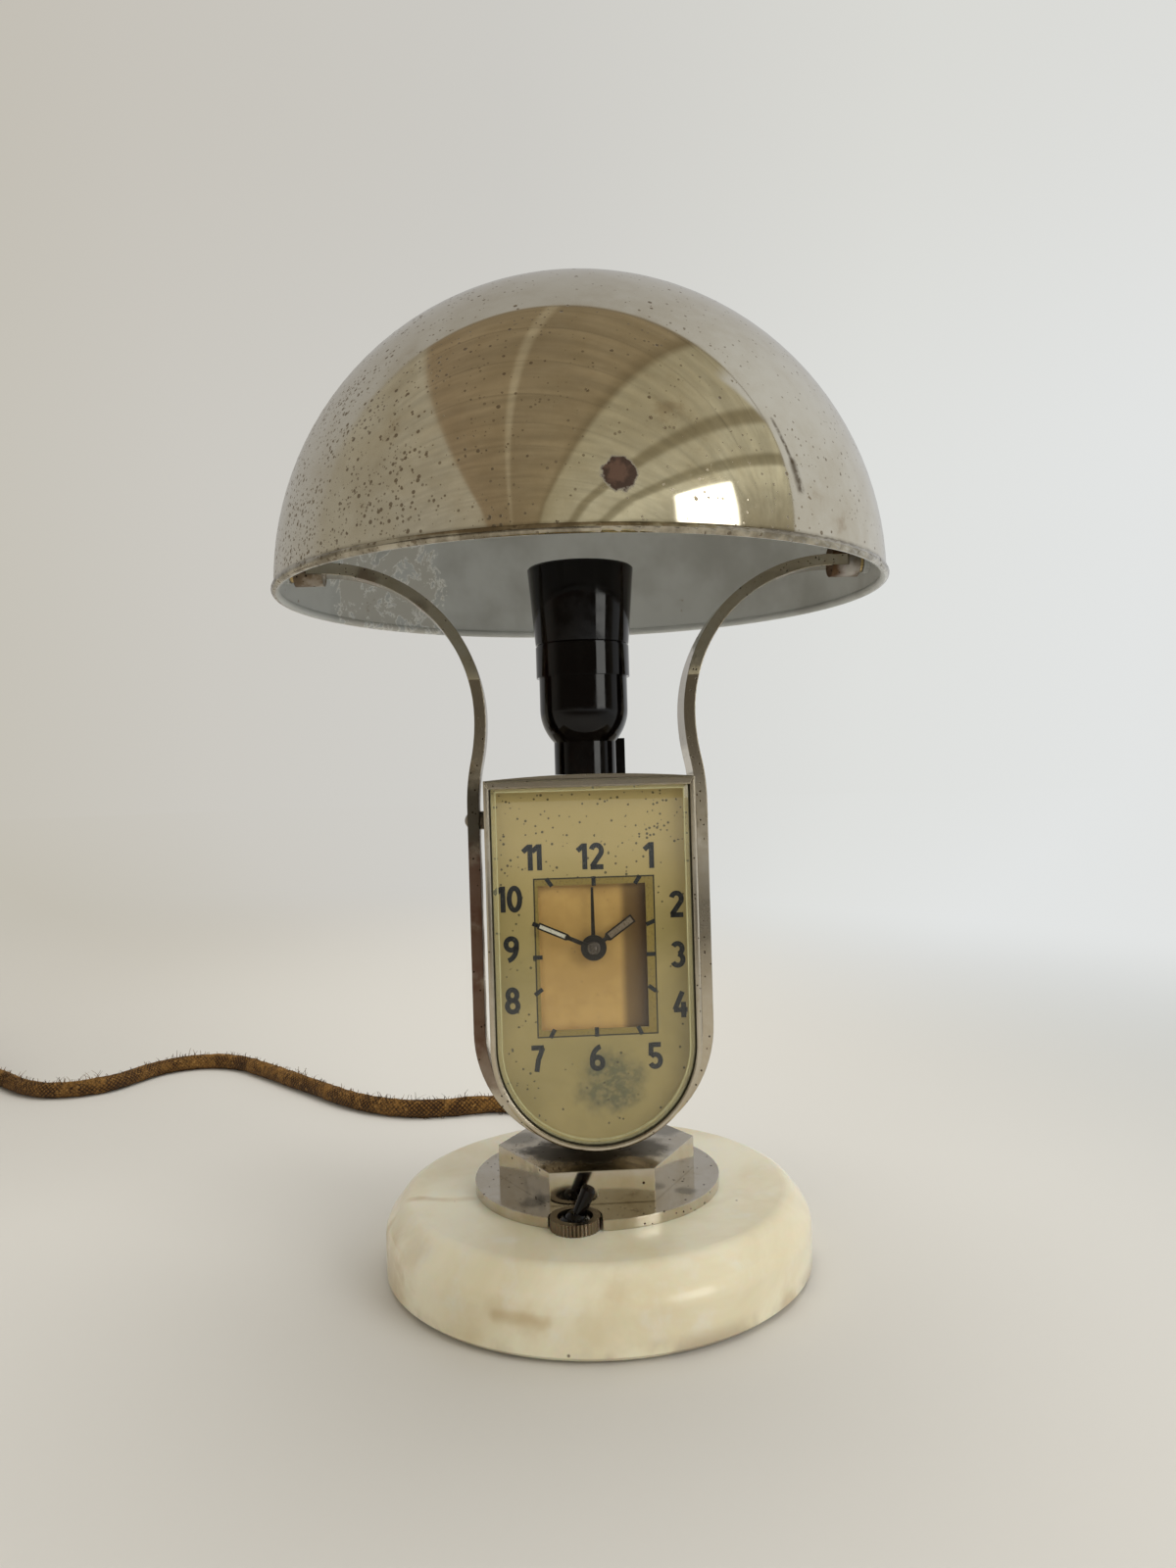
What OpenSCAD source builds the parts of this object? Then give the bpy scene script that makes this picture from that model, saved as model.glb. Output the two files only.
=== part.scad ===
// Table lamp with a built-in alarm clock: a marble base, a nickel strap that carries the
// clock and sweeps up to a tilting dome shade, and a bakelite lampholder on the clock's top.
// Millimetres, Z up, the front faces -Y, origin on the table under the middle of the base.

/* [Marble base] */
// Largest radius of the marble
base_r = 78.1; // [72:0.1:92]
// Bevel of the marble's lower edge
foot_edge = 1.5; // [0.5:0.1:3]
// Height of the marble's top face
base_h = 27.6; // [25:0.2:34]
// Rounding between the marble's flank and its shoulder
shoulder_r = 9; // [6:0.5:12]
// Rounding between the shoulder and the top face
brow_r = 6; // [3:0.5:9]
// Height of the shoulder, from the flank to the top face
shoulder_h = 12.3; // [9:0.1:16]
// Width of the shoulder, from the flank to the top face
shoulder_w = 10.1; // [8:0.1:14]
// Radius of the recess under the marble
recess_r = 58; // [54:0.5:62]
// Height of the recess's ceiling
recess_h = 15; // [13:0.5:17]
// Thickness of the felt ring under the marble
felt_t = 1.2; // [0.8:0.1:2]

/* [Foot of the stand] */
// Radius of the nickel flange
flange_r = 45.2; // [43:0.2:50]
// Thickness of the flange
flange_t = 3.7; // [2.5:0.1:5]
// Radius of the hexagon block over its corners
hex_r = 36.4; // [34:0.2:39]
// Height of the hexagon block
hex_h = 11.5; // [9:0.1:15]
// Radius of the threaded tube that ties the foot together
tube_r = 5; // [4.5:0.1:5.5]

/* [Strap] */
// Thickness of the strap
strap_t = 4.2; // [3:0.1:5]
// Width of the strap along the clock, front to back
strap_w = 18; // [14:0.5:22]
// Width of the strap's ends in the lugs
strap_tip_w = 9.6; // [8:0.1:10.4]
// Gap between the clock and the strap
strap_gap = 2.8; // [2.5:0.1:4]
// Narrowing of the strap at the waist, on each side
waist_step = 3.5; // [2:0.1:5]
// Rise of the waist above the clock's top edge
waist_rise = 23; // [20:0.2:30]
// Radius of the S bend between the clock and the waist
bend_r = 75; // [60:1:100]
// Distance of a lug's inner end from the outside of the dome
lug_in = 15.7; // [15:0.1:17]

/* [Shade] */
// Outer radius of the dome
shade_r = 110; // [109:0.5:118]
// Thickness of the dome's sheet
shade_t = 1.1; // [0.8:0.1:1.6]
// Distance of the rim below the tilt axis
rim_drop = 10.7; // [9:0.1:14]
// Radius of the rolled bead at the rim
bead_r = 1.5; // [1:0.1:2]
// Radius of the lugs that hold the strap's ends
lug_r = 5.75; // [5.3:0.05:6.5]
// Length of a lug
lug_l = 10.4; // [9:0.1:11.5]
// Radius of the tilt screws
pivot_r = 2; // [1.5:0.1:2.5]

/* [Clock case] */
// Half width of the case
case_r = 36.9; // [35:0.1:38]
// Height of the case's straight sides
case_h = 94.3; // [88:0.5:100]
// Rise of the crowned top
crown = 1.6; // [0.8:0.1:2.4]
// Wall of the case
case_t = 1; // [0.8:0.1:1.4]
// Front edge of the case, in front of the strap's middle
case_front = 19.5; // [18.5:0.1:22]
// Back edge of the case
case_back = 20; // [19:0.5:24]
// Overhang of the bezel beyond the case
bezel_over = 0.5; // [0.2:0.1:1]
// Depth of the bezel
bezel_d = 4.5; // [4.2:0.1:6]
// Face width of the bezel at the sides
bezel_side = 1.9; // [1.6:0.1:2.6]
// Face width of the bezel at the top
bezel_top = 3; // [2.4:0.1:3.6]
// Thickness of the bevelled glass
glass_t = 2; // [1.6:0.1:2.2]

/* [Dial and hands] */
// Height of the hands' axis above the middle of the round end
hub_up = 34; // [30:0.1:38]
// Distance of the dial behind the bezel's front
dial_y = 6.5; // [6.2:0.1:7]
// Width of the opening in the dial
window_w = 38.4; // [34:0.2:42]
// Height of the opening in the dial
window_h = 51.6; // [46:0.2:56]
// Height of the opening's middle above the middle of the round end
window_up = 30.6; // [28:0.1:33]
// Reach of the minute hand
minute_l = 21.3; // [18:0.1:24]
// Reach of the hour hand
hour_l = 17.6; // [14:0.1:20]
// Reach of the alarm hand
alarm_l = 21.6; // [18:0.1:23]

/* [Lampholder] */
// Radius of the lampholder's neck
neck_r = 11.45; // [10.5:0.05:13]
// Radius of the lampholder's cap
cap_r = 16.3; // [16:0.1:18]
// Radius of the ring between cap and skirt
ring_r = 17.3; // [17.1:0.1:19]
// Radius of the skirt at the mouth
mouth_r = 19.7; // [18.6:0.1:21]
// Height of the cap with its neck
cap_h = 35.8; // [34:0.2:38]
// Height of the ring
ring_h = 11.4; // [9:0.2:13]
// Height of the skirt
skirt_h = 29.3; // [26:0.2:33]
// Inner radius of the screw shell for the bulb
screw_r = 13.3; // [13.2:0.05:13.4]

/* [Switch] */
// Distance of the switch to the left of the middle
switch_x = 10; // [8:0.5:12]
// Distance of the switch in front of the middle
switch_y = 41; // [41:0.5:44]
// Radius of the knurled collar
collar_r = 8.6; // [8:0.1:9.5]
// Height of the knurled collar
collar_h = 4; // [3:0.1:5]
// Length of the lever from its pivot
lever_l = 12.5; // [10:0.5:15]
// Lean of the lever to the right
lever_lean = 25; // [20:1:28]

/* [Cord] */
// Diameter of the braided cord
cord_d = 9; // [8.5:0.1:9.4]
// Length of the tapered bush outside the marble
bush_l = 24; // [20:1:40]

/* [Hidden] */

$fn = 96;

// Clearance of a running fit, on the radius
run_gap = 0.08;
// Clearance of a piece that is dropped into another, on each side
fit_gap = 0.2;
eps = 0.01;

// Heights, from the table up
flange_z = base_h;
hex_z = flange_z + flange_t;
strap_z = hex_z + hex_h;
case_z = strap_z + strap_t;
case_mid = case_z + case_r;
case_top = case_mid + case_h;
crown_r = (case_r * case_r + crown * crown) / (2 * crown);
seat_z = case_top + crown;
cap_z = seat_z + cap_h;
ring_z = cap_z + ring_h;
mouth_z = ring_z + skirt_h;
waist_z = case_top + waist_rise;
hub_z = case_mid + hub_up;
window_z = case_mid + window_up;
barrel_z = case_mid + 13.1;
stop_z = case_top - 16.2;

// Half widths of the strap and of its arms
strap_in_r = case_r + strap_gap;
waist_in = strap_in_r - waist_step;
waist_mid = waist_in + strap_t / 2;
lug_x = shade_r - lug_in;
arm_r = lug_x - waist_mid;
pivot_z = waist_z + arm_r;
rim_z = pivot_z - rim_drop;

// Depths, front faces at -Y
bezel_y = -case_front - bezel_d;
lip_t = 0.7;
glass_y = bezel_y + lip_t;
dial_front = bezel_y + dial_y;
dial_t = 0.8;
plate_t = 1.5;
inner_r = case_r - case_t;

// Points on an arc round c, from angle a to b in n steps, without the first few if so asked
function arc(c, r, a, b, n, first = 0) =
    [for (i = [first : n]) c + r * [cos(a + (b - a) * i / n), sin(a + (b - a) * i / n)]];

// Upright D outline: half width, height of the straight sides, rise of the top
module d_outline(half, high, rise = 0) {
    circle(r = half);
    translate([-half, 0]) square([2 * half, high]);
    if (rise > 0) intersection() {
        translate([0, high + rise - crown_r]) circle(r = crown_r, $fn = 1440);
        translate([-half, high - rise]) square([2 * half, 3 * rise]);
    }
}

// Stands a flat outline upright, from depth y0 to y1, with its origin at height z
module upright(y0, y1, z = case_mid) {
    translate([0, y1, z]) rotate([90, 0, 0]) linear_extrude(y1 - y0) children();
}

// Round bar along Y
module bar_y(r, y0, y1, x = 0, z = 0) {
    translate([x, y0, z]) rotate([-90, 0, 0]) cylinder(r = r, h = y1 - y0);
}

// Ring along Y
module ring_y(ro, ri, y0, y1, x = 0, z = 0) {
    translate([x, y0, z]) rotate([-90, 0, 0]) difference() {
        cylinder(r = ro, h = y1 - y0);
        translate([0, 0, -1]) cylinder(r = ri, h = y1 - y0 + 2);
    }
}

// Round bar along X, mirrored to both sides
module both_sides() {
    children();
    mirror([1, 0, 0]) children();
}

module bar_x(r, x0, x1, z) {
    translate([x0, 0, z]) rotate([0, 90, 0]) cylinder(r = r, h = x1 - x0);
}

// Marble base

recess_z = felt_t + recess_h;
foot_r = base_r - foot_edge;
flank_centre = [base_r - shoulder_r, base_h - shoulder_h];
brow_centre = [base_r - shoulder_w, base_h - brow_r];
brow_way = brow_centre - flank_centre;
slope_a = atan2(brow_way[1], brow_way[0]) - acos((shoulder_r - brow_r) / norm(brow_way));
slope_n = [cos(slope_a), sin(slope_a)];
bush_z = 9.5;
bush_hole = 6.2;

// Straight flank, then a sloping shoulder with a soft edge below and above it
module marble_outline() {
    polygon([
        [0, felt_t], [foot_r, felt_t], [base_r, felt_t + foot_edge], [base_r, flank_centre[1]],
        flank_centre + shoulder_r * slope_n, brow_centre + brow_r * slope_n,
        [brow_centre[0], base_h], [0, base_h]
    ]);
    translate(flank_centre) circle(r = shoulder_r);
    translate(brow_centre) circle(r = brow_r);
}

module marble_base() {
    color("ivory") difference() {
        rotate_extrude($fn = 180) marble_outline();
        cylinder(r = recess_r, h = recess_z);
        cylinder(r = tube_r + fit_gap, h = base_h + 1);
        translate([-switch_x, -switch_y, 0]) cylinder(r = switch_neck_r + fit_gap, h = base_h + 1);
        bar_y(bush_hole, recess_r - 5, base_r + 1, 0, bush_z);
    }
}

module base_felt() {
    color("darkolivegreen") difference() {
        cylinder(r = foot_r - 4, h = felt_t);
        translate([0, 0, -1]) cylinder(r = recess_r + 2, h = felt_t + 2);
    }
}

// Foot of the stand

notch_r = collar_r + 0.5;

module base_flange() {
    color("silver") translate([0, 0, flange_z]) difference() {
        cylinder(r = flange_r, h = flange_t, $fn = 180);
        translate([0, 0, -1]) cylinder(r = tube_r + fit_gap, h = flange_t + 2);
        translate([-switch_x, -switch_y, -1]) cylinder(r = notch_r, h = flange_t + 2);
        translate([-switch_x - notch_r, -switch_y - notch_r - flange_r, -1])
            cube([2 * notch_r, flange_r + notch_r, flange_t + 2]);
    }
}

hex_wall = 4;

module hexagon_block() {
    color("silver") translate([0, 0, hex_z]) difference() {
        cylinder(r = hex_r, h = hex_h, $fn = 6);
        translate([0, 0, -1]) cylinder(r = tube_r + fit_gap, h = hex_h + 2);
        translate([0, 0, -1]) cylinder(r = hex_r * cos(30) - hex_wall, h = hex_h - hex_wall + 1);
    }
}

tube_foot = 8;
tube_top = case_z + case_t + 7;
nut_h = 4.5;
nut_r = 7.5;
washer_t = 1.5;

module tie_tube() {
    color("goldenrod") translate([0, 0, tube_foot]) difference() {
        cylinder(r = tube_r, h = tube_top - tube_foot);
        translate([0, 0, -1]) cylinder(r = tube_r - 1.2, h = tube_top - tube_foot + 2);
    }
}

module tie_washer() {
    color("silver") translate([0, 0, recess_z - washer_t]) difference() {
        cylinder(r = 14, h = washer_t);
        translate([0, 0, -1]) cylinder(r = tube_r + fit_gap, h = washer_t + 2);
    }
}

// Seat of a nut on the curved floor of the case, where its corners touch
nut_seat = case_mid - sqrt(inner_r * inner_r - nut_r * nut_r);

module tube_nuts() {
    color("goldenrod") for (z = [recess_z - washer_t - nut_h, nut_seat, case_top - case_t - nut_h])
        translate([0, 0, z]) difference() {
            cylinder(r = nut_r, h = nut_h, $fn = 6);
            translate([0, 0, -1]) cylinder(r = tube_r, h = nut_h + 2);
        }
}

// Switch

switch_neck_r = 6;
switch_r = 11;
neck_over = 5;
neck_dome = 8;
lever_pivot = flange_z + 2;
ball_r = 3.9;
lever_pin_r = 0.8;
lever_pin_half = 5.2;

module at_switch() {
    translate([-switch_x, -switch_y, 0]) children();
}

module switch_body() {
    color("dimgray") at_switch() difference() {
        union() {
            translate([0, 0, felt_t + 1]) cylinder(r = switch_r, h = recess_h - 1);
            intersection() {
                translate([0, 0, felt_t + 1]) cylinder(r = switch_neck_r, h = flange_z + 8);
                translate([0, 0, flange_z + neck_over - neck_dome]) {
                    sphere(r = neck_dome, $fn = 180);
                    translate([0, 0, -flange_z - 8]) cylinder(r = neck_dome, h = flange_z + 8);
                }
            }
        }
        translate([0, 0, recess_z]) cylinder(r = ball_r + run_gap, h = base_h);
        bar_y(lever_pin_r + run_gap, -lever_pin_half - fit_gap, lever_pin_half + fit_gap, 0, lever_pivot);
    }
}

knurls = 40;

module switch_collar() {
    color("silver") at_switch() translate([0, 0, flange_z]) difference() {
        linear_extrude(collar_h) difference() {
            circle(r = collar_r);
            for (i = [0 : knurls - 1]) rotate(i * 360 / knurls) translate([collar_r, 0])
                rotate(45) square(0.5, center = true);
        }
        translate([0, 0, -1]) cylinder(r = switch_neck_r + run_gap, h = collar_h + 2);
    }
}

lever_r = 2.2;
lever_tip_r = 2.5;

module switch_lever() {
    color("black") at_switch() translate([0, 0, lever_pivot]) rotate([0, lever_lean, 0]) {
        sphere(r = ball_r);
        bar_y(lever_pin_r, -lever_pin_half, lever_pin_half);
        translate([0, 0, -5.5]) cylinder(r = 1, h = 5.5);
        cylinder(r1 = lever_r, r2 = lever_tip_r, h = lever_l - 1);
        translate([0, 0, lever_l - 1]) cylinder(r1 = lever_tip_r, r2 = lever_tip_r - 0.8, h = 1);
    }
}

// Strap: one band bent round the clock, waisted above it and swept out to the lugs

band_r = strap_in_r + strap_t / 2;
band_mid = case_z + strap_in_r;
bend_a = acos(1 - (band_r - waist_mid) / (2 * bend_r));
bend_h = 2 * bend_r * sin(bend_a);
slot_l = 6;
arm_end = lug_x + slot_l;

// Part of a bent band round an axis along Y: middle of the bend, radius, first angle, sweep
module band_bend(x, z, r, from, sweep) {
    translate([x, 0, z]) rotate([90, 0, 0]) rotate(from) rotate_extrude(angle = sweep, $fn = 360)
        translate([r - strap_t / 2, -strap_w / 2]) square([strap_t, strap_w]);
}

// Straight side and S bend, from the round bottom up to the waist
module band_side() {
    low = [band_r - bend_r, waist_z - bend_h];
    high = [waist_mid + bend_r, waist_z];
    far = bend_r + strap_t / 2;
    near = bend_r - strap_t / 2;
    steps = 10;
    rotate([90, 0, 0]) linear_extrude(strap_w, center = true) polygon(concat(
        [[band_r + strap_t / 2, band_mid]],
        arc(low, far, 0, bend_a, steps),
        arc(high, near, 180 + bend_a, 180, steps, 1),
        arc(high, far, 180, 180 + bend_a, steps),
        arc(low, near, bend_a, 0, steps, 1),
        [[band_r - strap_t / 2, band_mid]]
    ));
}

module strap_side() {
    band_side();
    band_bend(lug_x, waist_z, arm_r, 90, 90);
    translate([lug_x, -strap_w / 2, pivot_z - strap_t / 2]) cube([slot_l, strap_w, strap_t]);
}

// Side view that narrows the arms towards the lugs
module arm_taper() {
    taper_z = waist_z + 14;
    taper_top = pivot_z - strap_t;
    half = [[strap_w / 2 + 1, 0], [strap_w / 2 + 1, taper_z], [strap_w / 2, taper_z],
            [strap_tip_w / 2, taper_top], [strap_tip_w / 2, pivot_z + strap_t]];
    outline = concat(half, [for (i = [4 : -1 : 0]) [-half[i][0], half[i][1]]]);
    rotate([90, 0, 90]) linear_extrude(2 * arm_end + 20, center = true) polygon(outline);
}

screw_z = case_top - 14.5;
strap_screw_r = 1.6;

module strap_frame() {
    color("silver") difference() {
        intersection() {
            union() {
                band_bend(0, band_mid, band_r, 180, 180);
                both_sides() strap_side();
            }
            arm_taper();
        }
        translate([0, 0, strap_z - 1]) cylinder(r = tube_r + fit_gap, h = strap_t + 2);
        bar_x(strap_screw_r + fit_gap, -band_r - strap_t, band_r + strap_t, screw_z);
    }
}

strap_out = band_r + strap_t / 2;
head_r = 2.75;

// Low domed head on the end of a bar along X, base at x
module domed_head(r, h, x, z) {
    dome_r = (r * r + h * h) / (2 * h);
    translate([x, 0, z]) rotate([0, 90, 0]) rotate_extrude() intersection() {
        translate([0, h - dome_r]) circle(r = dome_r);
        square([r, h]);
    }
}

module strap_screws() {
    color("silver") both_sides() {
        bar_x(strap_screw_r, case_r - case_t - 3, strap_out, screw_z);
        domed_head(head_r, 1.5, strap_out, screw_z);
    }
}

module strap_spacers() {
    color("silver") both_sides() translate([case_r, 0, screw_z]) rotate([0, 90, 0]) difference() {
        cylinder(r = 3.4, h = strap_in_r - case_r);
        translate([0, 0, -1]) cylinder(r = strap_screw_r + fit_gap, h = strap_in_r - case_r + 2);
    }
}

module strap_nuts() {
    color("goldenrod") both_sides() translate([inner_r - 2, 0, screw_z]) rotate([0, 90, 0]) difference() {
        cylinder(r = 3.2, h = 2, $fn = 6);
        translate([0, 0, -1]) cylinder(r = strap_screw_r, h = 4);
    }
}

// Shade and its tilt joint

shade_in = shade_r - shade_t;
dimple_r = 4.6;
pivot_washer_r = 4.2;
pivot_washer_t = 1.4;
washer_gap = 0.3;
dimple_x = lug_x + lug_l + pivot_washer_t + washer_gap;
csk_d = 1.5;
csk_gap = 0.35;

module pivot_lugs() {
    color("silver") both_sides() difference() {
        bar_x(lug_r, lug_x, lug_x + lug_l, pivot_z);
        translate([lug_x - 1, -lug_r - 1, pivot_z - strap_t / 2])
            cube([slot_l + 1, 2 * lug_r + 2, strap_t]);
        bar_x(pivot_r, lug_x + slot_l + 1, lug_x + lug_l + 1, pivot_z);
    }
}

// Outer end of a tilt screw, flush with the dome
screw_out = sqrt(shade_r * shade_r - rim_drop * rim_drop) - 0.1;

module pivot_screws() {
    color("silver") both_sides() difference() {
        union() {
            bar_x(pivot_r, lug_x + slot_l + 1, screw_out, pivot_z);
            translate([screw_out - csk_d, 0, pivot_z]) rotate([0, 90, 0])
                cylinder(r1 = pivot_r, r2 = pivot_r + csk_d, h = csk_d);
        }
        translate([screw_out - 0.6, -5, pivot_z - 0.4]) cube([2, 10, 0.8]);
    }
}

module pivot_washers() {
    color("goldenrod") both_sides() translate([lug_x + lug_l, 0, pivot_z]) rotate([0, 90, 0])
        difference() {
            cylinder(r = pivot_washer_r, h = pivot_washer_t);
            translate([0, 0, -1]) cylinder(r = pivot_r + run_gap, h = pivot_washer_t + 2);
        }
}

module dome_solid(r) {
    translate([0, 0, rim_z]) intersection() {
        sphere(r = r, $fn = 240);
        translate([-r - 1, -r - 1, 0]) cube([2 * r + 2, 2 * r + 2, r + 1]);
    }
}

module shade() {
    color("silver") difference() {
        union() {
            difference() {
                dome_solid(shade_r);
                translate([0, 0, rim_z]) sphere(r = shade_in, $fn = 240);
            }
            translate([0, 0, rim_z]) rotate_extrude($fn = 240)
                translate([shade_r - shade_t / 2, 0]) circle(r = bead_r, $fn = 32);
            intersection() {
                dome_solid(shade_r - shade_t / 2);
                both_sides() bar_x(dimple_r, dimple_x, shade_r, pivot_z);
            }
        }
        bar_x(pivot_r + run_gap, -shade_r - 1, shade_r + 1, pivot_z);
        both_sides() translate([screw_out - csk_d - csk_gap, 0, pivot_z]) rotate([0, 90, 0])
            cylinder(r1 = pivot_r, r2 = pivot_r + csk_d + csk_gap + 1, h = csk_d + csk_gap + 1);
    }
}

// Clock case and front

module clock_case() {
    color("silver") difference() {
        upright(-case_front, case_back) d_outline(case_r, case_h, crown);
        upright(-case_front - 1, case_back + 1) d_outline(inner_r, case_h - case_t);
        translate([0, 0, case_z - 1]) cylinder(r = tube_r + fit_gap, h = case_t + 2);
        translate([0, 0, case_top - case_t - 1]) cylinder(r = tube_r + fit_gap, h = crown + case_t + 2);
        bar_x(strap_screw_r + fit_gap, -case_r - 1, case_r + 1, screw_z);
    }
}

bezel_r = case_r + bezel_over;
bezel_wall = 1;
lip_slope = 0.6;

// Takes the section of a cut round an upright D: x outward from its edge, y to the back
module round_d(half, high, y) {
    translate([0, y, case_mid]) rotate([-90, 0, 0]) rotate_extrude(angle = 180, $fn = 240)
        translate([half, 0]) children();
    both_sides() translate([half, y, case_mid - 0.05]) linear_extrude(high + 1) children();
    translate([half + 1, y, case_mid + high]) rotate([0, -90, 0]) linear_extrude(2 * half + 2) children();
}

seam_w = 0.25;

// Fine seam of the mitre at the top corners
module mitre_seams() {
    corner = [bezel_r, case_h];
    slope = [bezel_side, bezel_top];
    aside = seam_w / 2 * [bezel_top, -bezel_side] / norm(slope);
    both_sides() upright(bezel_y - 1, bezel_y + 0.3)
        polygon([corner + slope + aside, corner - 2 * slope + aside, corner - 2 * slope - aside,
                 corner + slope - aside]);
}

module bezel() {
    color("silver") difference() {
        upright(bezel_y, -case_front) d_outline(bezel_r, case_h);
        upright(bezel_y + lip_t, -case_front + 1) d_outline(bezel_r - bezel_wall, case_h - bezel_wall);
        upright(bezel_y - 1, -case_front) d_outline(bezel_r - bezel_side, case_h - bezel_top);
        upright(bezel_y - 1, bezel_y + 0.3) d_outline(bezel_r - bezel_side + 0.3, case_h - bezel_top + 0.3);
        round_d(bezel_r, case_h, bezel_y)
            polygon([[-lip_slope - 0.1, -0.1], [1, -0.1], [1, lip_slope + 1]]);
        mitre_seams();
    }
}

glass_r = bezel_r - bezel_wall - fit_gap;
glass_h = case_h - bezel_wall - fit_gap;
bevel_w = 3;
bevel_d = 0.9;

module front_glass() {
    color("lightcyan", 0.4) difference() {
        upright(glass_y, glass_y + glass_t) d_outline(glass_r, glass_h);
        round_d(glass_r, glass_h, glass_y)
            polygon([[-bevel_w, -0.01], [1, -0.01], [1, bevel_d * (1 + 1 / bevel_w)]]);
    }
}

spacer_t = 1;

module dial_spacer() {
    color("dimgray") difference() {
        upright(glass_y + glass_t, dial_front) d_outline(inner_r - fit_gap, case_h - case_t - fit_gap);
        upright(glass_y, dial_front + 1)
            d_outline(inner_r - fit_gap - spacer_t, case_h - case_t - fit_gap - spacer_t);
    }
}

// Dial: a flat sheet with an opening, on four feet

plate_front = -8.5;
dial_feet = [[-28, 44], [28, 44], [-24, -12], [24, -12]];

module dial() {
    color("darkkhaki") {
        difference() {
            upright(dial_front, dial_front + dial_t) d_outline(inner_r - fit_gap, case_h - case_t - fit_gap);
            upright(dial_front - 1, dial_front + dial_t + 1, window_z)
                square([window_w, window_h], center = true);
        }
        for (f = dial_feet) bar_y(1, dial_front + dial_t, plate_front, f[0], case_mid + f[1]);
    }
}

tray_rim = 1.6;
tray_d = 1.2;
tray_t = 0.5;
tray_back = dial_front + dial_t + tray_d + tray_t;

module centre_plate() {
    color("tan") difference() {
        upright(dial_front + dial_t, tray_back, window_z)
            square([window_w + 2 * tray_rim, window_h + 2 * tray_rim], center = true);
        upright(dial_front + dial_t - 1, tray_back - tray_t, window_z)
            square([window_w + 1, window_h + 1], center = true);
        bar_y(alarm_tube_r + 0.1, tray_back - 2, tray_back + 1, 0, hub_z);
    }
}

// Movement: two plates on pillars, the springs, and the wheels under the dial

plate_back = 12;
gear_dist = 12;
minute_at = [gear_dist * cos(45), hub_z - gear_dist * sin(45)];
alarm_at = [-gear_dist * cos(45), hub_z + gear_dist * sin(45)];
barrel_x = 17;
arbor_r = 1.5;
shaft_r = 0.8;
wind_r = 1.6;
thin_r = 0.9;
stud_r = 0.9;
pillar_r = 2.2;
pillar_screw_r = 1.2;
pillar_at = [[-26, hub_z + 25.1], [26, hub_z + 25.1], [-11, case_mid - 11.9], [11, case_mid - 11.9]];
post_at = [[-22, hub_z + 32.1], [22, hub_z + 32.1], [0, case_mid - 9.9]];
plate_half = inner_r - 6.4;
plate_low = case_mid - 16.9;
plate_high = hub_z + 37.1;
post_r = 2.5;
cover_screw_r = 1.2;

module bearing_holes(y0, y1) {
    bar_y(arbor_r + run_gap, y0, y1, 0, hub_z);
    bar_y(thin_r + run_gap, y0, y1, alarm_at[0], alarm_at[1]);
    for (s = [-1, 1]) bar_y(wind_r + run_gap, y0, y1, s * barrel_x, barrel_z);
}

module front_plate() {
    color("goldenrod") {
        difference() {
            upright(plate_front, plate_front + plate_t)
                d_outline(inner_r - fit_gap, screw_z - case_mid - 4);
            bearing_holes(plate_front - 1, plate_front + plate_t + 1);
            bar_y(tube_r, plate_front - 1, plate_front + plate_t + 1, 0, case_z + 2);
        }
        bar_y(stud_r, minute_wheel_y - 2.4, plate_front, minute_at[0], minute_at[1]);
        for (p = pillar_at) difference() {
            bar_y(pillar_r, plate_front + plate_t, plate_back, p[0], p[1]);
            bar_y(pillar_screw_r, plate_back - 5, plate_back + 1, p[0], p[1]);
        }
    }
}

module back_plate() {
    color("goldenrod") difference() {
        union() {
            upright(plate_back, plate_back + plate_t, 0)
                translate([-plate_half, plate_low]) square([2 * plate_half, plate_high - plate_low]);
            for (p = post_at) bar_y(post_r, plate_back, case_back, p[0], p[1]);
        }
        bearing_holes(plate_back - 1, plate_back + plate_t + 1);
        for (p = post_at) bar_y(cover_screw_r, plate_back + plate_t, case_back + 1, p[0], p[1]);
        for (p = pillar_at) bar_y(pillar_screw_r, plate_back - 1, plate_back + plate_t + 1, p[0], p[1]);
    }
}

module pillar_screws() {
    color("steelblue") for (p = pillar_at) {
        bar_y(pillar_screw_r, plate_back - 4, plate_back + plate_t, p[0], p[1]);
        bar_y(2.2, plate_back + plate_t, plate_back + plate_t + 1, p[0], p[1]);
    }
}

barrel_r = 12.5;

module spring_barrels() {
    color("goldenrod") for (s = [-1, 1]) difference() {
        bar_y(barrel_r, plate_front + plate_t, plate_back - 2.5, s * barrel_x, barrel_z);
        bar_y(wind_r + run_gap, plate_front, plate_back, s * barrel_x, barrel_z);
        ring_y(barrel_r - 1.2, 4, plate_front + plate_t + 1.2, plate_back + 1, s * barrel_x, barrel_z);
    }
}

// Flat gear: teeth, module, and turn of its first tooth
module gear(teeth, mod, turn = 0) {
    pitch = 360 / teeth;
    rp = teeth * mod / 2;
    root = rp - 1.2 * mod;
    tip = rp + 0.85 * mod;
    rotate(turn) polygon([for (i = [0 : teeth - 1], k = [[root, -0.24], [tip, -0.07], [tip, 0.07], [root, 0.24]])
        k[0] * [cos((i + k[1]) * pitch), sin((i + k[1]) * pitch)]]);
}

minute_wheel_y = -10.7;
hour_wheel_y = -12.8;
alarm_wheel_y = -14.4;
wheel_t = 1;
hour_tube_in = shaft_r + 0.5 + run_gap;
hour_tube_r = hour_tube_in + 0.5;
alarm_tube_in = hour_tube_r + run_gap;
alarm_tube_r = alarm_tube_in + 0.5;
alarm_hand_y = dial_front - 1;
hour_hand_y = dial_front - 1.8;
minute_hand_y = dial_front - 2.6;
hand_t = 0.4;

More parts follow.
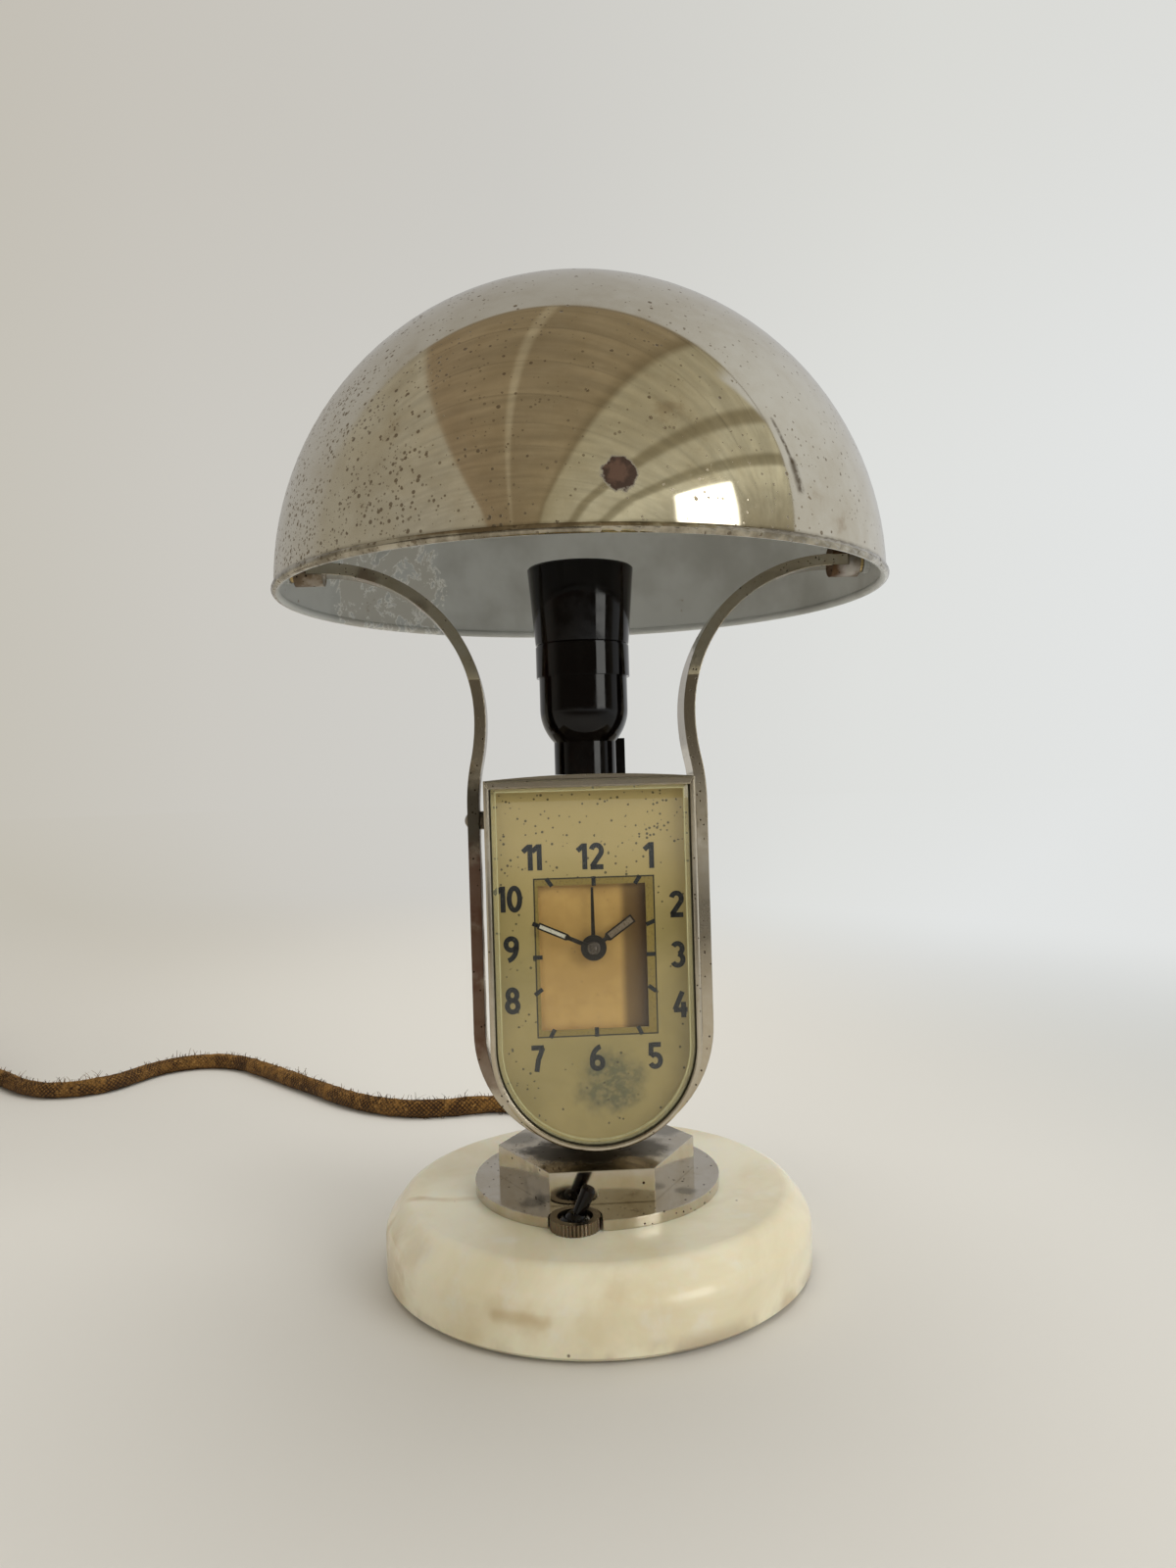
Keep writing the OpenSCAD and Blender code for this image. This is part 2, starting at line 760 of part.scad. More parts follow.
module centre_arbor() {
    color("silver") {
        bar_y(shaft_r, minute_hand_y - 0.5, plate_front - 0.5, 0, hub_z);
        bar_y(arbor_r, plate_front - 0.5, case_back + 6, 0, hub_z);
    }
}

module cannon_pinion() {
    color("goldenrod") difference() {
        union() {
            upright(minute_wheel_y - 0.2, minute_wheel_y + wheel_t + 0.2, hub_z) gear(12, 0.5, -45);
            bar_y(shaft_r + 0.5, minute_hand_y + hand_t, plate_front - 0.6, 0, hub_z);
        }
        bar_y(shaft_r, minute_hand_y - 1, plate_front, 0, hub_z);
    }
}

module minute_wheel() {
    color("goldenrod") difference() {
        union() {
            upright(minute_wheel_y, minute_wheel_y + wheel_t, minute_at[1]) translate([minute_at[0], 0])
                gear(36, 0.5, 135 + 5);
            upright(hour_wheel_y - 0.1, minute_wheel_y, minute_at[1]) translate([minute_at[0], 0])
                gear(10, 0.48, 135);
        }
        bar_y(stud_r + run_gap, hour_wheel_y - 1, plate_front, minute_at[0], minute_at[1]);
    }
}

module hour_wheel() {
    color("goldenrod") difference() {
        union() {
            upright(hour_wheel_y, hour_wheel_y + wheel_t, hub_z) gear(40, 0.48, -45 + 4.5);
            bar_y(hour_tube_r, hour_hand_y, hour_wheel_y, 0, hub_z);
        }
        bar_y(hour_tube_in, hour_hand_y - 1, hour_wheel_y + 2, 0, hub_z);
    }
}

module alarm_wheel() {
    color("goldenrod") difference() {
        union() {
            upright(alarm_wheel_y, alarm_wheel_y + wheel_t, hub_z) gear(45, 0.4, 135 + 4);
            bar_y(alarm_tube_r, alarm_hand_y, alarm_wheel_y, 0, hub_z);
        }
        bar_y(alarm_tube_in, alarm_hand_y - 1, alarm_wheel_y + 2, 0, hub_z);
    }
}

module alarm_arbor() {
    color("silver") {
        upright(alarm_wheel_y - 0.2, alarm_wheel_y + wheel_t + 0.2, alarm_at[1]) translate([alarm_at[0], 0])
            gear(15, 0.4, -45);
        bar_y(thin_r, alarm_wheel_y + wheel_t, case_back + 6, alarm_at[0], alarm_at[1]);
    }
}

// Hands: angles clockwise from the top, seen from the front

minute_a = -66;
hour_a = 54.5;
alarm_a = 0;
hub_disc = 4.6;

frame_w = 0.55;
stem_w = 1.5;

// Baton on a thin stem, with a framed slot that holds the luminous paint
module hand(y, reach, wide, from, angle, disc, bore) {
    color("darkslategray") upright(y, y + hand_t, hub_z) rotate(-angle) difference() {
        union() {
            polygon([
                [-stem_w / 2, 0], [stem_w / 2, 0], [stem_w / 2, from - 1], [wide / 2, from],
                [wide / 2, reach], [-wide / 2, reach], [-wide / 2, from], [-stem_w / 2, from - 1]
            ]);
            circle(r = disc);
        }
        translate([frame_w - wide / 2, from + frame_w]) square([wide - 2 * frame_w, reach - from - 2 * frame_w]);
        circle(r = bore);
    }
}

module minute_hand() {
    hand(minute_hand_y, minute_l, 2.4, 10.4, minute_a, 2.6, shaft_r);
}

module hour_hand() {
    hand(hour_hand_y, hour_l, 3.2, 6.4, hour_a, hub_disc, hour_tube_r);
}

module alarm_hand() {
    color("darkslategray") upright(alarm_hand_y, alarm_hand_y + hand_t, hub_z) rotate(-alarm_a) difference() {
        union() {
            polygon([[-0.8, 0], [0.8, 0], [0.45, alarm_l], [-0.45, alarm_l]]);
            circle(r = 3.6);
        }
        circle(r = alarm_tube_r);
    }
}

// Back: knobs, keys and cover

knob_y = case_back + 2.6;
knob_r = 5;
knob_d = 7;
cover_t = 1.2;
grips = 24;

module knurled_knob(x, z, bore) {
    color("goldenrod") translate([x, knob_y + knob_d, z]) rotate([90, 0, 0]) difference() {
        linear_extrude(knob_d) difference() {
            circle(r = knob_r);
            for (i = [0 : grips - 1]) rotate(i * 360 / grips) translate([knob_r, 0])
                rotate(45) square(0.6, center = true);
        }
        translate([0, 0, 3]) cylinder(r = bore, h = knob_d);
    }
}

module set_knob() {
    knurled_knob(0, hub_z, arbor_r);
}

module alarm_knob() {
    knurled_knob(alarm_at[0], alarm_at[1], thin_r);
}

// Winding arbor with its ratchet wheel
module winding_arbor(x) {
    color("silver") {
        bar_y(wind_r, plate_front, case_back + 6, x, barrel_z);
        upright(plate_back - 2, plate_back - 0.8, barrel_z) translate([x, 0]) gear(24, 0.7);
    }
}

wing_w = 11;
wing_h = 7;

// Winding key: a hub with two rounded wings
module winding_key(x) {
    color("goldenrod") difference() {
        union() {
            bar_y(3.4, knob_y, knob_y + 9, x, barrel_z);
            translate([x, knob_y + 6, barrel_z]) linear_extrude(1.8, center = true) {
                for (s = [-1, 1]) translate([s * (wing_w - 5), 3]) circle(r = wing_h - 1.5);
                translate([-4, -2]) square([8, 6]);
            }
        }
        bar_y(wind_r, knob_y - 1, knob_y + 4, x, barrel_z);
    }
}

module time_arbor() {
    winding_arbor(barrel_x);
}

module ring_arbor() {
    winding_arbor(-barrel_x);
}

module time_key() {
    winding_key(barrel_x);
}

module ring_key() {
    winding_key(-barrel_x);
}

stop_r = 2.4;
stop_travel = 3;

module stop_button() {
    color("goldenrod") {
        bar_y(stop_r, case_back - 3, case_back + cover_t + stop_travel + 0.3, 0, stop_z);
        bar_y(stop_r + 1.2, case_back - 1.6, case_back - 0.3, 0, stop_z);
        bar_y(4.4, case_back + cover_t + stop_travel + 0.3, case_back + cover_t + stop_travel + 3, 0, stop_z);
    }
}

module back_cover() {
    color("silver") difference() {
        union() {
            upright(case_back, case_back + cover_t) d_outline(case_r, case_h, crown);
            difference() {
                upright(case_back - 3, case_back) d_outline(inner_r - fit_gap, case_h - case_t - fit_gap);
                upright(case_back - 4, case_back + 1)
                    d_outline(inner_r - fit_gap - 0.8, case_h - case_t - fit_gap - 0.8);
            }
        }
        bar_y(arbor_r + 1, case_back - 1, case_back + 3, 0, hub_z);
        bar_y(thin_r + 1, case_back - 1, case_back + 3, alarm_at[0], alarm_at[1]);
        for (s = [-1, 1]) bar_y(wind_r + 1, case_back - 1, case_back + 3, s * barrel_x, barrel_z);
        bar_y(stop_r + run_gap, case_back - 1, case_back + 3, 0, stop_z);
        for (p = post_at) bar_y(cover_screw_r + fit_gap, case_back - 1, case_back + 3, p[0], p[1]);
    }
}

module cover_screws() {
    color("steelblue") for (p = post_at) difference() {
        union() {
            bar_y(cover_screw_r, plate_back + 3, case_back + cover_t, p[0], p[1]);
            bar_y(2.6, case_back + cover_t, case_back + cover_t + 1.2, p[0], p[1]);
        }
        translate([p[0] - 4, case_back + cover_t + 0.6, p[1] - 0.3]) cube([8, 2, 0.6]);
    }
}

// Lampholder

nipple_foot = case_top - case_t - nut_h - 1;
nipple_top = seat_z + 9;
bell_r = 18;
bell_z = seat_z + 24.2;
cup_r = cap_r - 1.7;
step_z = cap_z - 9.4;
insert_top = cap_z + 3.4;
shell_t = 0.6;
shell_h = 25;

module holder_nipple() {
    color("goldenrod") translate([0, 0, nipple_foot]) difference() {
        cylinder(r = tube_r, h = nipple_top - nipple_foot);
        translate([0, 0, -1]) cylinder(r = tube_r - 1.2, h = nipple_top - nipple_foot + 2);
    }
}

module cap_outline() {
    square([neck_r, bell_z - seat_z]);
    intersection() {
        translate([cap_r - bell_r, bell_z - seat_z]) circle(r = bell_r, $fn = 240);
        square([cap_r, bell_z - seat_z]);
    }
    translate([0, bell_z - seat_z]) square([cap_r, cap_z - bell_z]);
}

module holder_cap() {
    color("black") difference() {
        translate([0, 0, seat_z]) rotate_extrude($fn = 180) cap_outline();
        translate([0, 0, seat_z - 1]) cylinder(r = tube_r, h = cap_h);
        translate([0, 0, seat_z + 14]) cylinder(r1 = tube_r, r2 = cup_r - 3, h = 8);
        translate([0, 0, seat_z + 22]) cylinder(r = cup_r - 3, h = cap_h);
        translate([0, 0, step_z]) cylinder(r = cup_r, h = cap_h);
    }
}

module holder_insert() {
    color("white") difference() {
        translate([0, 0, step_z]) cylinder(r = cup_r - fit_gap, h = insert_top - step_z);
        for (s = [-1, 1]) translate([8 * s, 0, step_z - 1]) cylinder(r = 1.2, h = insert_top - step_z + 2);
        translate([0, 0, insert_top - 3]) cylinder(r = 6, h = 4);
    }
}

// Centre spring, side tongue and the two terminal screws
module contacts() {
    color("gold") {
        for (s = [-1, 1]) {
            translate([8 * s, 0, step_z]) cylinder(r = 1.2, h = insert_top - step_z);
            translate([8 * s, 0, step_z - 2]) cylinder(r = 2, h = 2);
        }
        translate([-2, -2, insert_top - 3]) cube([4, 4, 5]);
        translate([6.8, -2, insert_top]) cube([4, 4, 1]);
    }
}

module holder_ring() {
    color("black") translate([0, 0, cap_z]) difference() {
        cylinder(r = ring_r, h = ring_h);
        translate([0, 0, -1]) cylinder(r = cup_r, h = ring_h + 2);
    }
}

module screw_shell() {
    color("gold") translate([0, 0, insert_top]) difference() {
        cylinder(r = screw_r + shell_t, h = shell_h);
        translate([0, 0, -1]) cylinder(r = screw_r, h = shell_h + 2);
    }
}

module holder_skirt() {
    color("black") translate([0, 0, ring_z]) rotate_extrude($fn = 180) polygon([
        [cup_r, 0], [ring_r - 0.5, 0], [ring_r - 0.5, 0.5], [ring_r, 0.9], [mouth_r, skirt_h - 0.6],
        [mouth_r - 0.5, skirt_h], [mouth_r - 1.6, skirt_h], [mouth_r - 2.6, skirt_h - 8],
        [cup_r, skirt_h - 10]
    ]);
}

block_x = 9.5;
block_w = 13;
block_y = 13;
block_d = 7;
block_h = 13.5;

module wire_block() {
    color("black") difference() {
        translate([block_x - block_w / 2, block_y, case_top]) cube([block_w, block_d, block_h + crown]);
        upright(block_y - 1, case_back + 1) d_outline(case_r, case_h, crown);
    }
}

// Tubes swept along points: a ring of points square to the path at each route point

function unit(v) = v / norm(v);
function way(p, i) = unit(p[min(i + 1, len(p) - 1)] - p[max(i - 1, 0)]);
function ring_pts(c, t, r, n, up) = let (s = unit(cross(t, up)), u = cross(s, t))
    [for (k = [0 : n - 1]) c + r * (cos(360 * k / n) * u + sin(360 * k / n) * s)];
function tube_faces(rings, n) = concat(
    [for (i = [0 : rings - 2], k = [0 : n - 1], h = [0, 1]) let (a = i * n + k, b = i * n + (k + 1) % n)
        h == 0 ? [a, b + n, b] : [a, a + n, b + n]],
    [for (k = [1 : n - 2]) [0, k, k + 1]],
    [for (k = [1 : n - 2]) (rings - 1) * n * [1, 1, 1] + [0, k + 1, k]]
);

module swept(p, r, n, up = [0, 0, 1]) {
    polyhedron(
        points = [for (i = [0 : len(p) - 1], q = ring_pts(p[i], way(p, i), r, n, up)) q],
        faces = tube_faces(len(p), n)
    );
}

function path_length(p) = len(p) < 2 ? 0 : [for (i = [1 : len(p) - 1]) norm(p[i] - p[i - 1])] * [for (i = [1 : len(p) - 1]) 1];

// Lead from the base, up behind the movement and into the lampholder
lead_r = 2.6;
lead_y = 0.9;
lead_x = 4.9 - inner_r;
lead_up = [
    [0, lead_y, tube_foot], [0, lead_y, case_z], [0, lead_y, tube_top + 1], [-3, 4.5, tube_top + 5.5],
    [-9, 11, tube_top + 6.5], [-16, 16.2, tube_top + 7.5], [-24, 16.5, tube_top + 13],
    [lead_x, 16.5, tube_top + 29],
    [lead_x, 16.5, hub_z], [lead_x, 16.5, hub_z + 24], [-27, 16.5, screw_z - 6],
    [-16, 12, screw_z - 1], [-5, 4, nipple_foot - 6], [0, lead_y, nipple_foot - 1],
    [0, lead_y, seat_z], [0, lead_y, seat_z + 12]
];

module inner_lead() {
    color("saddlebrown") swept(lead_up, lead_r, 8, [0, 1, 0]);
}

// Mains cord: a tapered bush, the stretch on the table, a coil and the plug

bush_r = bush_hole - fit_gap;
bush_out = base_r + bush_l;
cord_r = cord_d / 2;

module cord_bush() {
    color("dimgray") difference() {
        union() {
            bar_y(bush_r, recess_r, base_r - 1, 0, bush_z);
            translate([0, base_r - 1, bush_z]) rotate([-90, 0, 0])
                cylinder(r1 = bush_r, r2 = cord_r + 0.8, h = bush_l + 1);
        }
        bar_y(3, recess_r - 1, bush_out + 1, 0, bush_z);
    }
}

// Route on the table, from the bush to the seam with the coil
route = [
    [0, bush_out, 9.5], [0, bush_out + 9, 9.5], [-1, 133, 9], [-5, 150, 7.4], [-15, 166, 5.8],
    [-31, 177, 4.8], [-50, 180, 4.5], [-68, 177.5, 4.5], [-86, 178, 4.5], [-103, 184, 4.5],
    [-118, 194.5, 4.5], [-132, 208, 4.5], [-146, 224, 4.5], [-160, 240, 4.5], [-174, 256, 4.5],
    [-189, 273, 4.5], [-205, 289, 4.5], [-222, 298, 4.5], [-240.5, 298, 4.5], [-256, 288.5, 4.5],
    [-265.5, 272.5, 4.5], [-274.5, 256.5, 4.5], [-290, 247, 4.5], [-308.5, 247, 4.5],
    [-325, 256, 4.5], [-340, 270, 4.5], [-357.5, 287.5, 4.5], [-375, 305, 4.5]
];

module cord_run() {
    color("peru") swept(route, cord_r, 10);
}

// Coil of the rest: it winds in, climbs a layer and winds out again
coil_turns = 4;
coil_in = 40;
coil_step = 9.6;
layer_h = 9.6;
loop_rings = 24;
run_end = route[len(route) - 1];
run_way = way(route, len(route) - 1);
run_a = atan2(run_way[1], run_way[0]);
coil_out = coil_in + coil_step * coil_turns / 2;
coil_first = run_end + cord_d * run_way;
coil_mid = coil_first + coil_out * [-sin(run_a), cos(run_a), 0];
plug_r = 18.5;

function ease(u) = let (v = min(1, max(0, u))) v * v * (3 - 2 * v);
function coil_r(u) = coil_in + coil_step * abs(u - coil_turns / 2);
function coil_z(u) = cord_r + layer_h * ease((u - coil_turns / 2 + 0.25) / 0.5);
function coil_at(u) = [coil_mid[0] + coil_r(u) * sin(run_a + 360 * u), coil_mid[1] - coil_r(u) * cos(run_a + 360 * u),
    coil_z(u)];
function tail_at(d, z) = [coil_first[0] + d * run_way[0], coil_first[1] + d * run_way[1], z];

coil_loops = [for (i = [0 : coil_turns * loop_rings]) coil_at(i / loop_rings)];
coil_path = concat([run_end, run_end + 4.5 * run_way], coil_loops,
    [tail_at(12, cord_r + layer_h), tail_at(26, 15.6), tail_at(42, 18), tail_at(56, plug_r),
     tail_at(56 + cord_d, plug_r)]);
coil_end = coil_path[len(coil_path) - 1];

// Least distance between loops that lie side by side or on each other, less the cord's diameter
coil_gap = min([for (i = [0 : len(coil_loops) - 1], j = [i + loop_rings / 2 : 1 : len(coil_loops) - 1])
    norm(coil_loops[i] - coil_loops[j])]) - cord_d;
echo(cord_length = path_length(route) + path_length(coil_path), coil_gap = coil_gap);

module cord_coil() {
    color("peru") swept(coil_path, cord_r, 6);
}

// Round two-pin plug that lies on its side
plug_l = 22;
neck_l = 16;
pin_r = 2;
pin_l = 19;
pin_apart = 19;

module at_plug() {
    translate(coil_end) rotate([0, 0, run_a]) rotate([0, 90, 0]) children();
}

module plug_body() {
    color("black") at_plug() difference() {
        rotate_extrude($fn = 120) polygon([
            [0, 0], [cord_r + 1.5, 0], [cord_r + 2.5, 1], [cord_r + 3, neck_l - 5],
            [plug_r - 5, neck_l - 2], [plug_r - 1.2, neck_l + 1], [plug_r, neck_l + 4],
            [plug_r, neck_l + plug_l - 1], [plug_r - 1, neck_l + plug_l], [0, neck_l + plug_l]
        ]);
        for (s = [-1, 1]) translate([0, s * pin_apart / 2, neck_l + plug_l - 8]) cylinder(r = pin_r, h = 9);
    }
}

module plug_pins() {
    color("silver") at_plug() for (s = [-1, 1]) translate([0, s * pin_apart / 2, neck_l + plug_l - 8]) {
        cylinder(r = pin_r, h = pin_l + 7);
        translate([0, 0, pin_l + 7]) cylinder(r1 = pin_r, r2 = pin_r - 0.8, h = 1);
    }
}

marble_base();
base_felt();
base_flange();
hexagon_block();
tie_tube();
tie_washer();
tube_nuts();
switch_body();
switch_collar();
switch_lever();
strap_frame();
strap_screws();
strap_spacers();
strap_nuts();
pivot_lugs();
pivot_screws();
pivot_washers();
shade();
clock_case();
bezel();
front_glass();
dial_spacer();
dial();
centre_plate();
front_plate();
back_plate();
pillar_screws();
spring_barrels();
centre_arbor();
cannon_pinion();
minute_hand();
set_knob();
minute_wheel();
hour_wheel();
hour_hand();
alarm_wheel();
alarm_hand();
alarm_arbor();
alarm_knob();
time_arbor();
time_key();
ring_arbor();
ring_key();
stop_button();
back_cover();
cover_screws();
holder_nipple();
holder_cap();
holder_insert();
contacts();
holder_ring();
screw_shell();
holder_skirt();
wire_block();
inner_lead();
cord_bush();
cord_run();
cord_coil();
plug_body();
plug_pins();
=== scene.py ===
import math

import bpy
from mathutils import Matrix, Vector, noise


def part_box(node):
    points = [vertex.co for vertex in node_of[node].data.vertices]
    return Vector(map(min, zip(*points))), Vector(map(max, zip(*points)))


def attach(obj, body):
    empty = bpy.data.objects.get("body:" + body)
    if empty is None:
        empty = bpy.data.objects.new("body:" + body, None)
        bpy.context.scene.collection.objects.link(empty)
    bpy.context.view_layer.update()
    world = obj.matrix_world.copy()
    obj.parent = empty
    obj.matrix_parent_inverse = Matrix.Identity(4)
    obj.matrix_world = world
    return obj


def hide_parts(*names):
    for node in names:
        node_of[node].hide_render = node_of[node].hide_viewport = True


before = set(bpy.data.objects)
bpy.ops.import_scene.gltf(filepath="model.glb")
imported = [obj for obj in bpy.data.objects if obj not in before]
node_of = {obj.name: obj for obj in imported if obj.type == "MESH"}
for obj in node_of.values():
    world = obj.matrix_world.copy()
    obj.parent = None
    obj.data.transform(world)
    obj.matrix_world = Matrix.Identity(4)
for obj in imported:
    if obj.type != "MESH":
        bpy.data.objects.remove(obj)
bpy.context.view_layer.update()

MM = 0.001


# Camera, fitted to the photograph

CAMERA_AT = Vector((-21.22, -404.89, 178.66)) * MM
CAMERA_RIGHT = Vector((0.998114, -0.054262, -0.028701))
CAMERA_UP = Vector((0.029010, 0.004917, 0.999567))
CAMERA_AHEAD = Vector((0.054097, 0.998515, -0.006482))
LENS_MM, SENSOR_MM = 24.9525, 36


def place_camera():
    camera = bpy.data.objects.new("Camera", bpy.data.cameras.new("Camera"))
    bpy.context.scene.collection.objects.link(camera)
    turn = Matrix((CAMERA_RIGHT, CAMERA_UP, -CAMERA_AHEAD)).transposed()
    camera.matrix_world = Matrix.Translation(CAMERA_AT) @ turn.to_4x4()
    camera.data.sensor_fit = "AUTO"
    camera.data.sensor_width = SENSOR_MM
    camera.data.lens = LENS_MM
    camera.data.clip_start = 0.01
    camera.data.clip_end = 60
    bpy.context.scene.camera = camera


place_camera()


# Mesh helpers

def mm(place):
    """A place given in millimetres, in metres."""
    return tuple(c * MM for c in place)


def new_piece(name, verts, faces, body, smooth=True):
    mesh = bpy.data.meshes.new(name)
    mesh.from_pydata([tuple(v) for v in verts], [], faces)
    mesh.validate()
    if smooth:
        mesh.shade_smooth()
    piece = bpy.data.objects.new(name, mesh)
    bpy.context.scene.collection.objects.link(piece)
    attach(piece, body)
    return piece


def curved_path(points, step, cuts=16):
    """Points a step apart on a smooth curve through the given ones."""
    ends = [points[0] * 2 - points[1]] + points + [points[-1] * 2 - points[-2]]
    fine = []
    for a, b, c, d in zip(ends, ends[1:], ends[2:], ends[3:]):
        for i in range(cuts):
            t = i / cuts
            fine.append(0.5 * (2 * b + (c - a) * t + (2 * a - 5 * b + 4 * c - d) * t * t
                               + (3 * b - a - 3 * c + d) * t ** 3))
    fine.append(points[-1])
    run = lengths_along(fine)
    count = max(2, round(run[-1] / step))
    path, j = [], 0
    for i in range(count + 1):
        s = run[-1] * i / count
        while j < len(run) - 2 and run[j + 1] < s:
            j += 1
        t = (s - run[j]) / max(1e-9, run[j + 1] - run[j])
        path.append(fine[j].lerp(fine[j + 1], min(1, t)))
    return path


def lengths_along(path):
    run = [0.0]
    for p, q in zip(path, path[1:]):
        run.append(run[-1] + (q - p).length)
    return run


def frames_along(path):
    """Direction and two square directions at each point, turned as little as possible."""
    last = len(path) - 1
    ahead = [(path[min(i + 1, last)] - path[max(i - 1, 0)]).normalized() for i in range(last + 1)]
    side = ahead[0].cross(Vector((0, 0, 1))).normalized()
    result = []
    for t in ahead:
        side = (side - t * side.dot(t)).normalized()
        result.append((side, t.cross(side)))
    return result


def tube(name, path, radius, sides, body):
    """Tube round a path with UV: turns round in u, metres along in v."""
    verts, faces = [], []
    for i, (p, (s, u)) in enumerate(zip(path, frames_along(path))):
        for k in range(sides):
            angle = 2 * math.pi * k / sides
            verts.append(p + radius(i, angle) * (math.cos(angle) * s + math.sin(angle) * u))
    rings = len(path)
    for i in range(rings - 1):
        for k in range(sides):
            a, b = i * sides + k, i * sides + (k + 1) % sides
            faces.append((a, b, b + sides, a + sides))
    faces.append(tuple(range(sides))[::-1])
    faces.append(tuple((rings - 1) * sides + k for k in range(sides)))
    piece = new_piece(name, verts, faces, body)
    along = lengths_along(path)
    layer = piece.data.uv_layers.new(name="UVMap")
    for face in piece.data.polygons:
        around = [v % sides for v in face.vertices]
        joins_up = len(around) == 4 and 0 in around and sides - 1 in around
        for loop in face.loop_indices:
            v = piece.data.loops[loop].vertex_index
            turn = 1.0 if joins_up and v % sides == 0 else v % sides / sides
            layer.data[loop].uv = (turn, along[v // sides])
    return piece


# Mains cord: from the bush behind the base, over the table, into the coil and the plug

CORD_D = 9 * MM
CORD_STEP, CORD_SIDES = 1.8 * MM, 20
LYING = 4.5
falling = [(0, 102.1, 9.5), (0, 111.1, 9.5), (-1, 133, 9), (-5, 150, 7.4), (-15, 166, 5.8), (-31, 177, 4.8)]
lying = [
    (-50, 180), (-68, 177.5), (-86, 178), (-103, 184), (-118, 194.5), (-132, 208), (-146, 224), (-160, 240),
    (-174, 256), (-189, 273), (-205, 289), (-222, 298), (-240.5, 298), (-256, 288.5), (-265.5, 272.5),
    (-274.5, 256.5), (-290, 247), (-308.5, 247), (-325, 256), (-340, 270), (-357.5, 287.5), (-375, 305),
]
COIL_TURNS, COIL_IN, COIL_STEP, LAYER_H, COIL_POINTS = 4, 40, 9.6, 9.6, 24
COIL_START = 135
coil_first = Vector((-381.364, 311.364, LYING))
coil_middle = Vector((-423.225, 269.503, 0))
diagonal = Vector((-1, 1, 0)).normalized()
# The cord's end climbs off the coil into the plug: way from the coil's first point, and height
PLUG_END = [(12, 14.1), (26, 15.6), (42, 18), (56, 18.5), (65, 18.5)]
SWOLLEN = [(-280, 253), (-82, 178), (-62, 178)]
# Worn places: where, number of threads, up or down
WORN = [((-292, 249), 26, 1), ((-101, 182), 18, 1), ((-79, 178), 26, -1), ((-238, 298), 12, 1),
        ((-160, 240), 12, 1), ((-45, 180), 12, -1), ((-60, 178), 14, 1), ((-330, 260), 14, 1)]
THREAD_R, THREAD_PARTS = 0.19 * MM, 4


def coil_points():
    """Inwards on the table and outwards on top, with one climb between the two layers."""
    points = []
    for i in range(COIL_TURNS * COIL_POINTS + 1):
        u = i / COIL_POINTS
        r = COIL_IN + COIL_STEP * abs(u - COIL_TURNS / 2)
        climb = min(1, max(0, (u - COIL_TURNS / 2 + 0.25) / 0.5))
        angle = math.radians(COIL_START + 360 * u)
        height = LYING + LAYER_H * climb * climb * (3 - 2 * climb)
        points.append(coil_middle + Vector((r * math.sin(angle), -r * math.cos(angle), height)))
    return points


def nearest_on(path, x, y):
    return min(range(len(path)), key=lambda i: (path[i].xy - Vector((x, y)) * MM).length)


def loose_thread(at, ahead, out, grow, lean):
    """Middle line of one thread that stands off the braid and bends over."""
    line = []
    for j in range(THREAD_PARTS + 1):
        t = j / THREAD_PARTS
        point = at + out * (CORD_D * 0.47 + grow * t) + ahead * lean * grow * t * t
        line.append(Vector((point.x, point.y, max(point.z, 0.15 * MM))))
    return line


def frays_on(path):
    """Loose threads of the braid, many where it is worn and a few along its first third."""
    tufts = [(nearest_on(path, x, y), count, side, 5.5) for (x, y), count, side in WORN]
    tufts += [(i, 3, 1, 2.4) for i in range(8, len(path) // 3, 2)]
    verts, faces = [], []
    for middle, count, side, reach in tufts:
        ahead = (path[middle + 1] - path[middle]).normalized()
        for k in range(count):
            shift = [noise.noise(Vector((middle * 0.37, k * 1.7, c * 5.1))) for c in range(4)]
            at = path[min(len(path) - 2, max(1, middle + int(shift[0] * 14)))]
            out = Vector((-ahead.y * shift[1] * 2, ahead.x * shift[1] * 2, side * 0.7)).normalized()
            grow = (0.5 + reach * (0.2 + 1.4 * abs(shift[2]))) * MM
            n = len(verts)
            for j, q in enumerate(loose_thread(at, ahead, out, grow, shift[3] * 1.6)):
                thick = THREAD_R * (1.15 - 0.6 * j / THREAD_PARTS)
                for angle in (0, 2.094, 4.189):
                    verts.append(q + Vector((math.cos(angle), math.sin(angle), 0)) * thick)
            for j in range(n, n + 3 * THREAD_PARTS, 3):
                faces += [(j + a, j + b, j + 3 + b, j + 3 + a) for a, b in ((0, 1), (1, 2), (2, 0))]
            end = n + 3 * THREAD_PARTS
            faces += [(n + 2, n + 1, n), (end, end + 1, end + 2)]
    return new_piece("cord_frays", verts, faces, "stand")


def lay_cord():
    tail = [coil_first + way * diagonal for way, height in PLUG_END]
    for point, (way, height) in zip(tail, PLUG_END):
        point.z = height
    points = [Vector(p) for p in falling] + [Vector(p + (LYING,)) for p in lying] + coil_points() + tail
    path = curved_path([p * MM for p in points], CORD_STEP)
    swollen = [nearest_on(path, x, y) for x, y in SWOLLEN]

    def fluffed(i, angle):
        p = Vector((i * 0.21, math.cos(angle) * 1.2, math.sin(angle) * 1.2))
        swell = sum(math.exp(-((i - s) / 5) ** 2) for s in swollen)
        return CORD_D / 2 * (0.98 + 0.08 * swell + (0.09 + 0.06 * swell) * noise.noise(p * 1.6)
                             + 0.06 * noise.noise(p * 0.3))

    cord = tube("mains_cord", path, fluffed, CORD_SIDES, "stand")
    for vertex in cord.data.vertices:
        vertex.co.z = max(vertex.co.z, 0.05 * MM)
    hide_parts("cord_run", "cord_coil")
    frays = frays_on(path)
    return cord, frays


cord, frays = lay_cord()


# Node helpers

